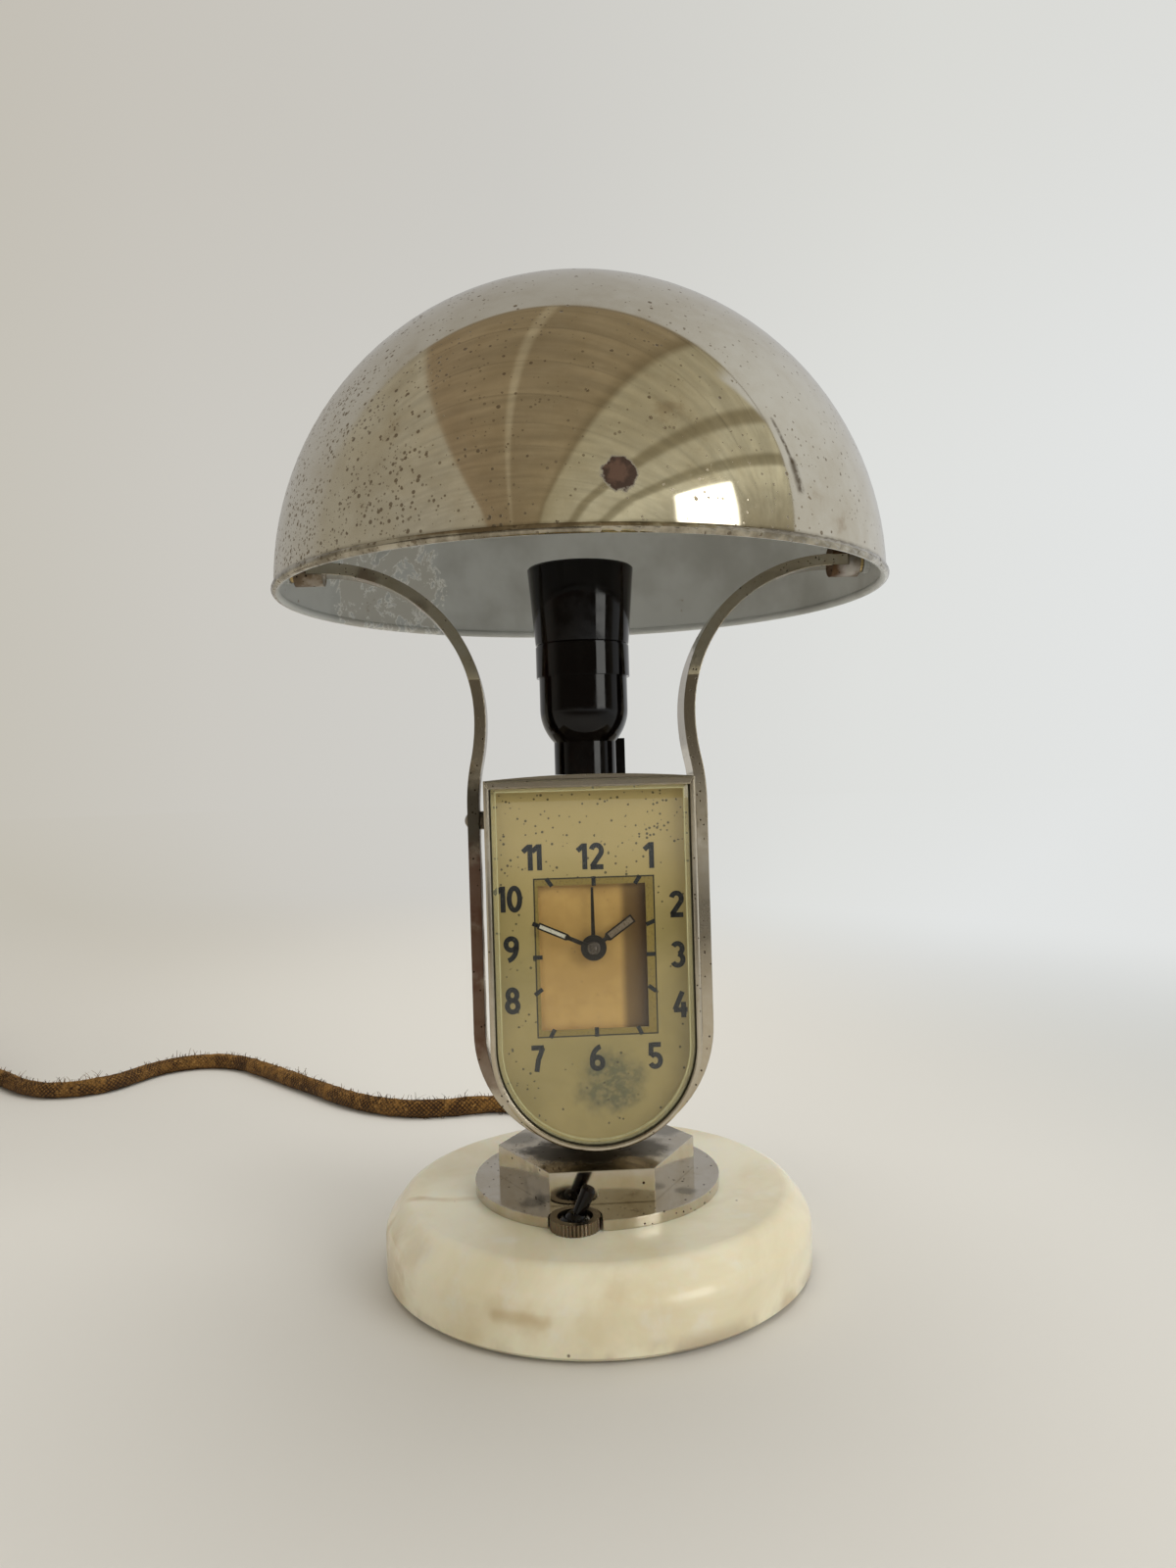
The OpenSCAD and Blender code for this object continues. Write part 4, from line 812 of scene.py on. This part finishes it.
# Rust on both arms; the dark and reddish patches down the strap's left side are tarnish and painted shade
# of the gap beside the case; a dark patch lies on its right side
strap_stains_and_shade = [
    ((58, -2, 218), 9, 0.7, RUST), ((66, -2, 232), 10, 0.75, RUST), ((80, -2, 248), 9, 0.6, RUST),
    ((-62, -2, 240), 8, 0.5, RUST), ((-78, -2, 252), 7, 0.6, RUST), ((-41, -9, 165), 20, 0.85, SOOT_AND_SHADE),
    ((-41, -9, 140), 21, 0.85, RED_TARNISH_AND_SHADE), ((-41, -9, 118), 19, 0.85, RED_TARNISH_AND_SHADE), ((-41, -9, 95), 19, 0.8, RED_TARNISH_AND_SHADE),
    ((-39, -9, 75), 12, 0.6, RED_TARNISH_AND_SHADE), ((41, -9, 125), 12, 0.45, SOOT_AND_SHADE),
]
# Dark patches on the hexagon's top are painted shadow of the clock above it; two smaller ones darken the
# flange's top
foot_shade_and_stains = [
    ((-14, -12, 42.8), 17, 0.9, SOOT_AND_SHADE), ((16, -10, 42.8), 14, 0.8, SOOT_AND_SHADE), ((0, -14, 42.8), 15, 0.9, SOOT_AND_SHADE),
    ((27, 8, 42.8), 9, 0.5, SOOT_AND_SHADE), ((-28, 6, 42.8), 9, 0.5, SOOT_AND_SHADE), ((-24, -27, 31.3), 6, 0.5, SOOT_AND_SHADE),
    ((30, -24, 31.3), 5, 0.5, SOOT_AND_SHADE),
]
lug_stains = [((94, 0, 257), 14, 0.9, RUST), ((101, -3, 255), 6, 0.7, WHITE_CHIP)]

nickel_strap = aged_nickel("strap_nickel", (0.56, 0.505, 0.41), 0.14, 900.0, 0.2, 0.3, strap_stains_and_shade, 0.5)
nickel_case = aged_nickel("case_nickel", (0.57, 0.515, 0.42), 0.13, 1000.0, 0.16, 0.3, edge=0.5)
nickel_foot = aged_nickel("foot_nickel", (0.60, 0.555, 0.48), 0.12, 700.0, 0.14, 0.3, foot_shade_and_stains, 0.6)
dull_nickel = aged_nickel("dull_nickel", (0.30, 0.265, 0.22), 0.36, 500.0, 0.35, 0.85, lug_stains)
brass = plain_metal("old_brass", (0.70, 0.53, 0.26), 0.28)
steel = plain_metal("turned_steel", (0.56, 0.56, 0.55), 0.3)
bakelite = polished_bakelite("polished_bakelite", (0.0025, 0.0016, 0.0014), 0.08)
braid = brown_braid()
figure_ink = printed_ink("figure_ink", (0.012, 0.014, 0.016), (0.10, 0.09, 0.06))
line_ink = printed_ink("line_ink", (0.03, 0.026, 0.016), (0.14, 0.11, 0.06))
gold_ink = printed_ink("gold_ink", (0.30, 0.215, 0.055), (0.22, 0.15, 0.04), 0.2)
cream_paint = printed_ink("cream_paint", (0.70, 0.66, 0.56), (0.25, 0.20, 0.14), 0.14)
brown_paint = printed_ink("brown_paint", (0.22, 0.17, 0.12), (0.10, 0.07, 0.04), 0.16)

finishes = [
    (ivory_marble(), "marble_base"),
    (green_felt(), "base_felt"),
    (nickel_foot, "base_flange hexagon_block"),
    (nickel_strap, "strap_frame"),
    (nickel_case, "clock_case bezel back_cover"),
    (dull_nickel, "strap_screws strap_spacers pivot_lugs pivot_screws"),
    (dome_nickel(), "shade"),
    (plain_metal("brown_collar_brass", (0.24, 0.19, 0.14), 0.3), "switch_collar"),
    (brass, "tie_tube tube_nuts strap_nuts pivot_washers front_plate back_plate spring_barrels"),
    (brass, "cannon_pinion set_knob minute_wheel hour_wheel alarm_wheel alarm_knob time_key ring_key"),
    (brass, "stop_button holder_nipple contacts screw_shell plug_pins"),
    (steel, "tie_washer pillar_screws centre_arbor alarm_arbor time_arbor ring_arbor cover_screws"),
    (plain_metal("dark_hand_steel", (0.05, 0.045, 0.04), 0.35), "minute_hand hour_hand alarm_hand"),
    (bakelite, "switch_body switch_lever holder_cap holder_ring holder_skirt wire_block cord_bush"),
    (polished_bakelite("plug_bakelite", (0.018, 0.012, 0.01), 0.2), "plug_body"),
    (glazed_porcelain(), "holder_insert"),
    (bevelled_glass(), "front_glass"),
    (dark_card(), "dial_spacer"),
    (lacquered_dial(), "dial"),
    (tan_lacquer(), "centre_plate"),
    (braid, "inner_lead"),
]
for finish, names in finishes:
    for name in names.split():
        mesh = node_of[name].data
        mesh.materials.clear()
        mesh.materials.append(finish)
for piece in (cord, frays):
    piece.data.materials.append(braid)


# Prints on the dial: figures, frame line, golden band and marks, in millimetres

DIAL_Y = -17.5
BAND_Y, INK_Y, MARK_Y = DIAL_Y - 0.02, DIAL_Y - 0.04, DIAL_Y - 0.05
HUB_Z = 117.9
FRAME = (-20.6, 22.2, 86.4, 142.8)
OPENING = (-19.2, 19.2, 88.7, 140.3)
FRAME_MIDDLE, FRAME_WIDTH = 0.8, 0.5
FIGURE_H, FIGURE_STROKE, FIGURE_FILL = 9.3, 1.8, 0.92
MARK_WIDTH, MARK_HALF = 1.5, 1.7


def flat_piece(name, shapes, y, finish, body="stand"):
    """Flat shapes given as outlines of (x, z), facing the reader at depth y."""
    verts, faces = [], []
    for shape in shapes:
        faces.append(tuple(range(len(verts), len(verts) + len(shape))))
        verts += [mm((x, y, z)) for x, z in shape]
    piece = new_piece(name, verts, faces, body, smooth=False)
    piece.data.materials.append(finish)


def band(line, width):
    """Quads along a line of points, with mitred joints."""
    half, left, right = width / 2, [], []
    closed = (Vector(line[0]) - Vector(line[-1])).length < 1e-6
    points = [Vector(p) for p in (line[:-1] if closed else line)]
    count = len(points)
    for i, p in enumerate(points):
        before = points[i - 1] if closed or i else None
        after = points[(i + 1) % count] if closed or i < count - 1 else None
        d1 = (p - before).normalized() if before is not None else (after - p).normalized()
        d2 = (after - p).normalized() if after is not None else d1
        n = Vector((-(d1 + d2).y, (d1 + d2).x)).normalized()
        reach = half / max(0.45, n.dot(Vector((-d1.y, d1.x))))
        left.append(p + n * reach)
        right.append(p - n * reach)
    steps = range(count if closed else count - 1)
    return [(left[i], right[i], right[(i + 1) % count], left[(i + 1) % count]) for i in steps]


def bow(cx, cz, rx, rz, a, b, n):
    """Part of an oval from angle a to angle b, in n steps."""
    return [(cx + rx * math.cos(math.radians(a + (b - a) * i / n)),
             cz + rz * math.sin(math.radians(a + (b - a) * i / n))) for i in range(n + 1)]


# Width and strokes of each figure in a box one high, as middle lines
FIGURES = {
    "0": (0.42, [bow(0, 0.5, 0.22, 0.42, 90, 450, 28)]),
    "1": (0.20, [[(-0.24, 0.72), (0.03, 0.93)], [(0.06, 1.0), (0.06, 0.0)]]),
    "2": (0.44, [bow(0, 0.70, 0.21, 0.22, 165, -35, 16) + [(-0.20, 0.10)], [(-0.26, 0.08), (0.28, 0.08)]]),
    "3": (0.42, [bow(-0.01, 0.72, 0.20, 0.20, 150, -80, 16), bow(-0.01, 0.30, 0.22, 0.22, 85, -155, 18)]),
    "4": (0.44, [[(0.13, 0.0), (0.13, 0.60)], [(0.10, 1.0), (-0.24, 0.30)], [(-0.28, 0.30), (0.30, 0.30)]]),
    "5": (0.42, [[(0.24, 0.92), (-0.17, 0.92)], [(-0.17, 1.0), (-0.19, 0.50)],
                 bow(-0.01, 0.31, 0.22, 0.235, 140, -155, 18)]),
    "6": (0.42, [bow(0, 0.29, 0.22, 0.22, 90, 450, 24), bow(0.22, 0.36, 0.44, 0.56, 178, 100, 10)]),
    "7": (0.42, [[(-0.26, 0.92), (0.26, 0.92)], [(0.22, 0.92), (0.02, 0.45), (-0.06, 0.0)]]),
    "8": (0.42, [bow(0, 0.715, 0.19, 0.205, 90, 450, 24), bow(0, 0.29, 0.22, 0.22, 90, 450, 24)]),
    "9": (0.42, [bow(0, 0.71, 0.22, 0.22, 90, 450, 24), bow(-0.22, 0.64, 0.44, 0.56, -2, -80, 10)]),
}
HOURS = {
    "11": (-20.5, 150.6), "12": (0.2, 150.4), "1": (21.2, 150.1), "2": (30.2, 132.3), "3": (30.2, 114.2),
    "4": (30.6, 96.2), "5": (21.1, 78.3), "6": (0.3, 78.5), "7": (-20.9, 78.9), "8": (-29.3, 99.9),
    "9": (-29.2, 118.0), "10": (-29.4, 136.0),
}
# Marks: place, and whether they stand straight instead of pointing to the hub
MARKS = [
    (-15.2, 141.5, 0), (0.7, 141.5, 1), (16.4, 141.5, 0), (-15.4, 87.6, 0), (0.4, 87.6, 1), (15.9, 87.6, 0),
    (-19.9, 126.4, 0), (-19.9, 114.9, 1), (-19.9, 102.6, 0), (20.7, 126, 0), (20.7, 114.7, 1),
    (20.7, 102.4, 0),
]


def figure(text, x, z):
    wide = [FIGURES[c][0] * FIGURE_H for c in text]
    gap = 1.4 if text == "11" else 1.75
    start = x - (sum(wide) + gap * (len(text) - 1)) / 2
    shapes = []
    for c, w in zip(text, wide):
        for line in FIGURES[c][1]:
            points = [(start + w / 2 + px * FIGURE_H * FIGURE_FILL, z + (pz - 0.5) * FIGURE_H)
                      for px, pz in line]
            shapes += band(points, FIGURE_STROKE)
        start += w + gap
    return shapes


def rim_shapes(outer, inner):
    """Four mitred strips between two upright boxes, each (left, right, bottom, top)."""
    (a, c), (b, d) = [[((x0, z0), (x1, z0)), ((x1, z1), (x0, z1))] for x0, x1, z0, z1 in (outer, inner)]
    out, into = a + c, b + d
    return [[out[i], out[(i + 1) % 4], into[(i + 1) % 4], into[i]] for i in range(4)]


def mark(x, z, straight):
    way = Vector((x - FRAME_MIDDLE, z - HUB_Z)).normalized()
    if straight:
        way = Vector((0, 1)) if abs(way.y) > abs(way.x) else Vector((1, 0))
    middle = Vector((x, z))
    return band([middle - way * MARK_HALF, middle + way * MARK_HALF], MARK_WIDTH)


def print_dial():
    for text, (x, z) in HOURS.items():
        flat_piece("figure_" + text, figure(text, x, z), INK_Y, figure_ink)
    x0, x1, z0, z1 = FRAME
    outline = [(x0, z0), (x1, z0), (x1, z1), (x0, z1), (x0, z0)]
    flat_piece("golden_band", rim_shapes(FRAME, OPENING), BAND_Y, gold_ink)
    flat_piece("frame_line", band(outline, FRAME_WIDTH), INK_Y, line_ink)
    marks = [shape for x, z, straight in MARKS for shape in mark(x, z, straight)]
    flat_piece("hour_marks", marks, MARK_Y, figure_ink)


def paint_in_hand(name, body, angle, y, start, end, width, finish):
    """Luminous paint in a hand's slot."""
    turn = math.radians(angle)
    way = Vector((math.sin(turn), math.cos(turn)))
    hub = Vector((0, HUB_Z))
    flat_piece(name, band([hub + way * start, hub + way * end], width), y, finish, body)


# Radius and depth before the minute hand, from the collet's foot to its tip
COLLET = [(2.3, 0.25), (2.3, -0.25), (2.05, -0.45), (1.45, -0.45), (1.25, -0.2), (1.0, -0.2), (0.9, -0.55),
          (0.55, -0.7)]
COLLET_TIP, COLLET_SIDES = -0.72, 48


def hub_collet():
    """Turned ring and pin on the front of the minute hand."""
    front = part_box("minute_hand")[0][1]
    sides, verts, faces = COLLET_SIDES, [], []
    for r, y in COLLET:
        for k in range(sides):
            a = 2 * math.pi * k / sides
            verts.append((r * math.cos(a) * MM, front + y * MM, (HUB_Z + r * math.sin(a)) * MM))
    for i in range(len(COLLET) - 1):
        for k in range(sides):
            a, b = i * sides + k, i * sides + (k + 1) % sides
            faces.append((a, a + sides, b + sides, b))
    last = (len(COLLET) - 1) * sides
    verts.append((0, front + COLLET_TIP * MM, HUB_Z * MM))
    faces += [(last + k, len(verts) - 1, last + (k + 1) % sides) for k in range(sides)]
    piece = new_piece("hand_collet", verts, faces, "minutes", smooth=False)
    piece.data.materials.append(plain_metal("collet_steel", (0.17, 0.145, 0.12), 0.3))


print_dial()
hub_collet()
paint_in_hand("minute_paint", "minutes", -66, -19.95, 10.9, 20.8, 1.35, cream_paint)
paint_in_hand("hour_paint", "hours", 54.5, -19.15, 6.9, 17.1, 2.15, brown_paint)


# Room: pale floor, pale walls for the camera, the ceiling and the window for the reflections

# Paper tones: darker at the left as painted shadow of the lamp, lighter in the middle, darker at the right
# to even out the stronger window light there
PAPER_LEFT = (0.605, 0.575, 0.52)
PAPER_MIDDLE = (0.71, 0.685, 0.635)
PAPER_RIGHT = (0.56, 0.57, 0.56)
FLOOR_R, FLOOR_SIDES = 8, 96
# The room's light on dull surfaces, against 1 in mirrors and for the camera
SOFT_ROOM = 0.75
WINDOW_LIGHT = (4.2, 4.2, 4.0)
# Slant of the ceiling's boards, and the tones of its beams from left to right
SLANT = 0.43
CEILING = [
    (-2.0, (0.40, 0.375, 0.32)), (-0.72, (0.42, 0.385, 0.31)), (-0.68, (0.29, 0.225, 0.15)),
    (-0.19, (0.285, 0.225, 0.145)), (-0.16, (0.46, 0.40, 0.29)), (-0.13, (0.27, 0.215, 0.14)),
    (0.34, (0.32, 0.26, 0.17)), (0.42, (0.23, 0.185, 0.115)), (0.46, (0.43, 0.39, 0.28)),
    (0.98, (0.47, 0.435, 0.325)), (1.03, (0.27, 0.235, 0.155)), (1.15, (0.30, 0.265, 0.18)),
    (1.20, (0.55, 0.52, 0.40)), (1.56, (0.55, 0.52, 0.40)), (1.62, (0.30, 0.27, 0.185)),
    (1.78, (0.36, 0.33, 0.235)), (1.84, (0.72, 0.69, 0.54)), (2.6, (0.50, 0.475, 0.37)),
    (4.0, (0.36, 0.33, 0.25)),
]


def pale_floor():
    """Paper that takes the lamp's shadow and melts into the pale wall further back, where it glows with the
    wall's tone; its left part is painted darker as more of the lamp's shadow, and towards the front it is
    painted dark in mirrors as a painted reflection of the room in front.
    """
    material, shader, place = new_material("pale_floor", Roughness=0.8)
    tone = placed(room_tone_group, Direction=vectors("NORMALIZE", place))["Color"]
    where = parts_of(place)
    # Painted light: darker at the left as the lamp's shadow, darker at the right against the window light
    paper = blended(between(where["X"], -0.5, -0.02), PAPER_LEFT, PAPER_MIDDLE)
    paper = blended(between(where["X"], 0.08, 0.5), paper, PAPER_RIGHT)
    # Painted reflection: seen in mirrors, the floor towards the front is dark
    edge = between(where["Y"], -0.95, -0.35, 1.0, 0.0)
    tree = material.node_tree
    mirrored = tree.nodes.new("ShaderNodeLightPath").outputs["Is Glossy Ray"]
    feed(shader, Base_Color=blended(times(edge, mirrored), paper, (0.12, 0.105, 0.085)))
    right = times(larger(where["X"], 0.0), 1.3)
    back = between(plus(where["Y"], right), 0.45, 1.5)
    far = larger(back, between(vectors("LENGTH", place), 0.9, 2.6))
    # Further back the floor glows with the wall's painted tone instead of taking light
    glow = add("Emission", {"Color": tone, "Strength": 1.0}).outputs[0]
    mixed = add("MixShader", {0: far, 1: tree.nodes["Principled BSDF"].outputs[0], 2: glow})
    feed(tree.nodes["Material Output"].inputs, Surface=mixed.outputs[0])
    return material


def lay_floor():
    angles = [2 * math.pi * k / FLOOR_SIDES for k in range(FLOOR_SIDES)]
    verts = [(0, 0, 0)] + [(FLOOR_R * math.cos(a), FLOOR_R * math.sin(a), 0) for a in angles]
    faces = [(0, k + 1, (k + 1) % FLOOR_SIDES + 1) for k in range(FLOOR_SIDES)]
    mesh = bpy.data.meshes.new("floor")
    mesh.from_pydata(verts, [], faces)
    floor = bpy.data.objects.new("floor", mesh)
    bpy.context.scene.collection.objects.link(floor)
    mesh.materials.append(pale_floor())


def boarded_ceiling(across, along):
    """Beams across the room and boards along them."""
    spread = add("CombineXYZ", {0: across, 1: times(along, 7.0), 2: 0.0}).outputs[0]
    boards = between(grain(spread, 1.6, 3.0, 0.6), 0.30, 0.72, 0.84, 1.12)
    joint = maths("PINGPONG", plus(along, times(across, 0.04)), 0.155)
    boards = times(boards, between(joint, 0.0, 0.010, 0.72, 1.0))
    return scaled(colour_ramp(across, CEILING), boards)


def mirrored_room(way):
    """What the metal reflects: ceiling, pale backdrop with its edge line, dark low front, window.

    Directions are read on a ceiling one unit above the lamp, px to the right and py to the back.
    """
    d = parts_of(way)
    up = larger(d["Z"], 0.03)
    px = maths("DIVIDE", d["X"], up)
    py = maths("DIVIDE", d["Y"], up)
    across = minus(px, times(py, SLANT))
    along = plus(py, times(px, SLANT))
    side = maths("DIVIDE", along, larger(across, 0.1))
    pane = times(between(side, -0.74, -0.68), between(side, -0.24, -0.20, 1.0, 0.0))
    window = times(between(across, 2.05, 2.15), pane)
    edge = minus(py, minus(0.265, times(px, 0.28)))
    right = times(between(py, -0.09, -0.03), between(px, 0.62, 0.75))
    behind = larger(between(edge, -0.012, 0.012), right)
    backdrop = blended(between(d["X"], -0.1, 0.85), (0.43, 0.42, 0.405), (0.66, 0.67, 0.68))
    room = blended(behind, boarded_ceiling(across, along), backdrop)
    from_line = maths("ABSOLUTE", plus(edge, 0.012))
    room = blended(between(from_line, 0.003, 0.009, 0.7, 0.0), room, (0.20, 0.17, 0.13))
    low = times(between(d["Z"], 0.3, 0.08), between(d["Y"], -0.1, -0.5))
    room = blended(low, room, (0.11, 0.095, 0.075))
    return blended(window, room, WINDOW_LIGHT)


def build_room():
    """World by direction: the room in reflections, the pale tone elsewhere, softer on dull surfaces."""
    world = bpy.data.worlds.new("room")
    bpy.context.scene.world = world
    world.use_nodes = True
    tree = world.node_tree
    way = tree.nodes.new("ShaderNodeTexCoord").outputs["Generated"]
    tone = placed(room_tone_group, Direction=way)["Color"]
    rays = tree.nodes.new("ShaderNodeLightPath").outputs
    seen = blended(rays["Is Glossy Ray"], tone, mirrored_room(way))
    bare = larger(rays["Is Camera Ray"], rays["Is Transmission Ray"])
    full = larger(bare, rays["Is Glossy Ray"])
    strength = add("MapRange", {"Value": full, "To Min": SOFT_ROOM, "To Max": 1.0}).outputs["Result"]
    feed(tree.nodes["Background"].inputs, Color=seen, Strength=strength)


def hang_lamp(name, place, target, size, watts, colour=(1, 1, 1)):
    lamp = bpy.data.objects.new(name, bpy.data.lights.new(name, "AREA"))
    bpy.context.scene.collection.objects.link(lamp)
    lamp.data.shape = "RECTANGLE"
    lamp.data.size, lamp.data.size_y = size
    lamp.data.energy = watts
    lamp.data.color = colour
    lamp.location = place
    lamp.rotation_euler = (Vector(target) - Vector(place)).to_track_quat("-Z", "Y").to_euler()
    lamp.visible_camera = False
    lamp.visible_glossy = False


lay_floor()
build_room()
hang_lamp("window_light", (3.2, -2.6, 2.3), (0, 0, 0.1), (2.4, 2.0), 70.0, (1.0, 0.995, 0.98))
hang_lamp("soft_fill", (-2.6, -3.0, 2.4), (0, 0, 0.1), (3.0, 2.4), 18.0, (1.0, 0.98, 0.95))
hang_lamp("top_light", (0.4, 0.8, 3.4), (0, 0, 0), (3.0, 3.0), 60.0)

bpy.context.scene.view_settings.view_transform = "Standard"
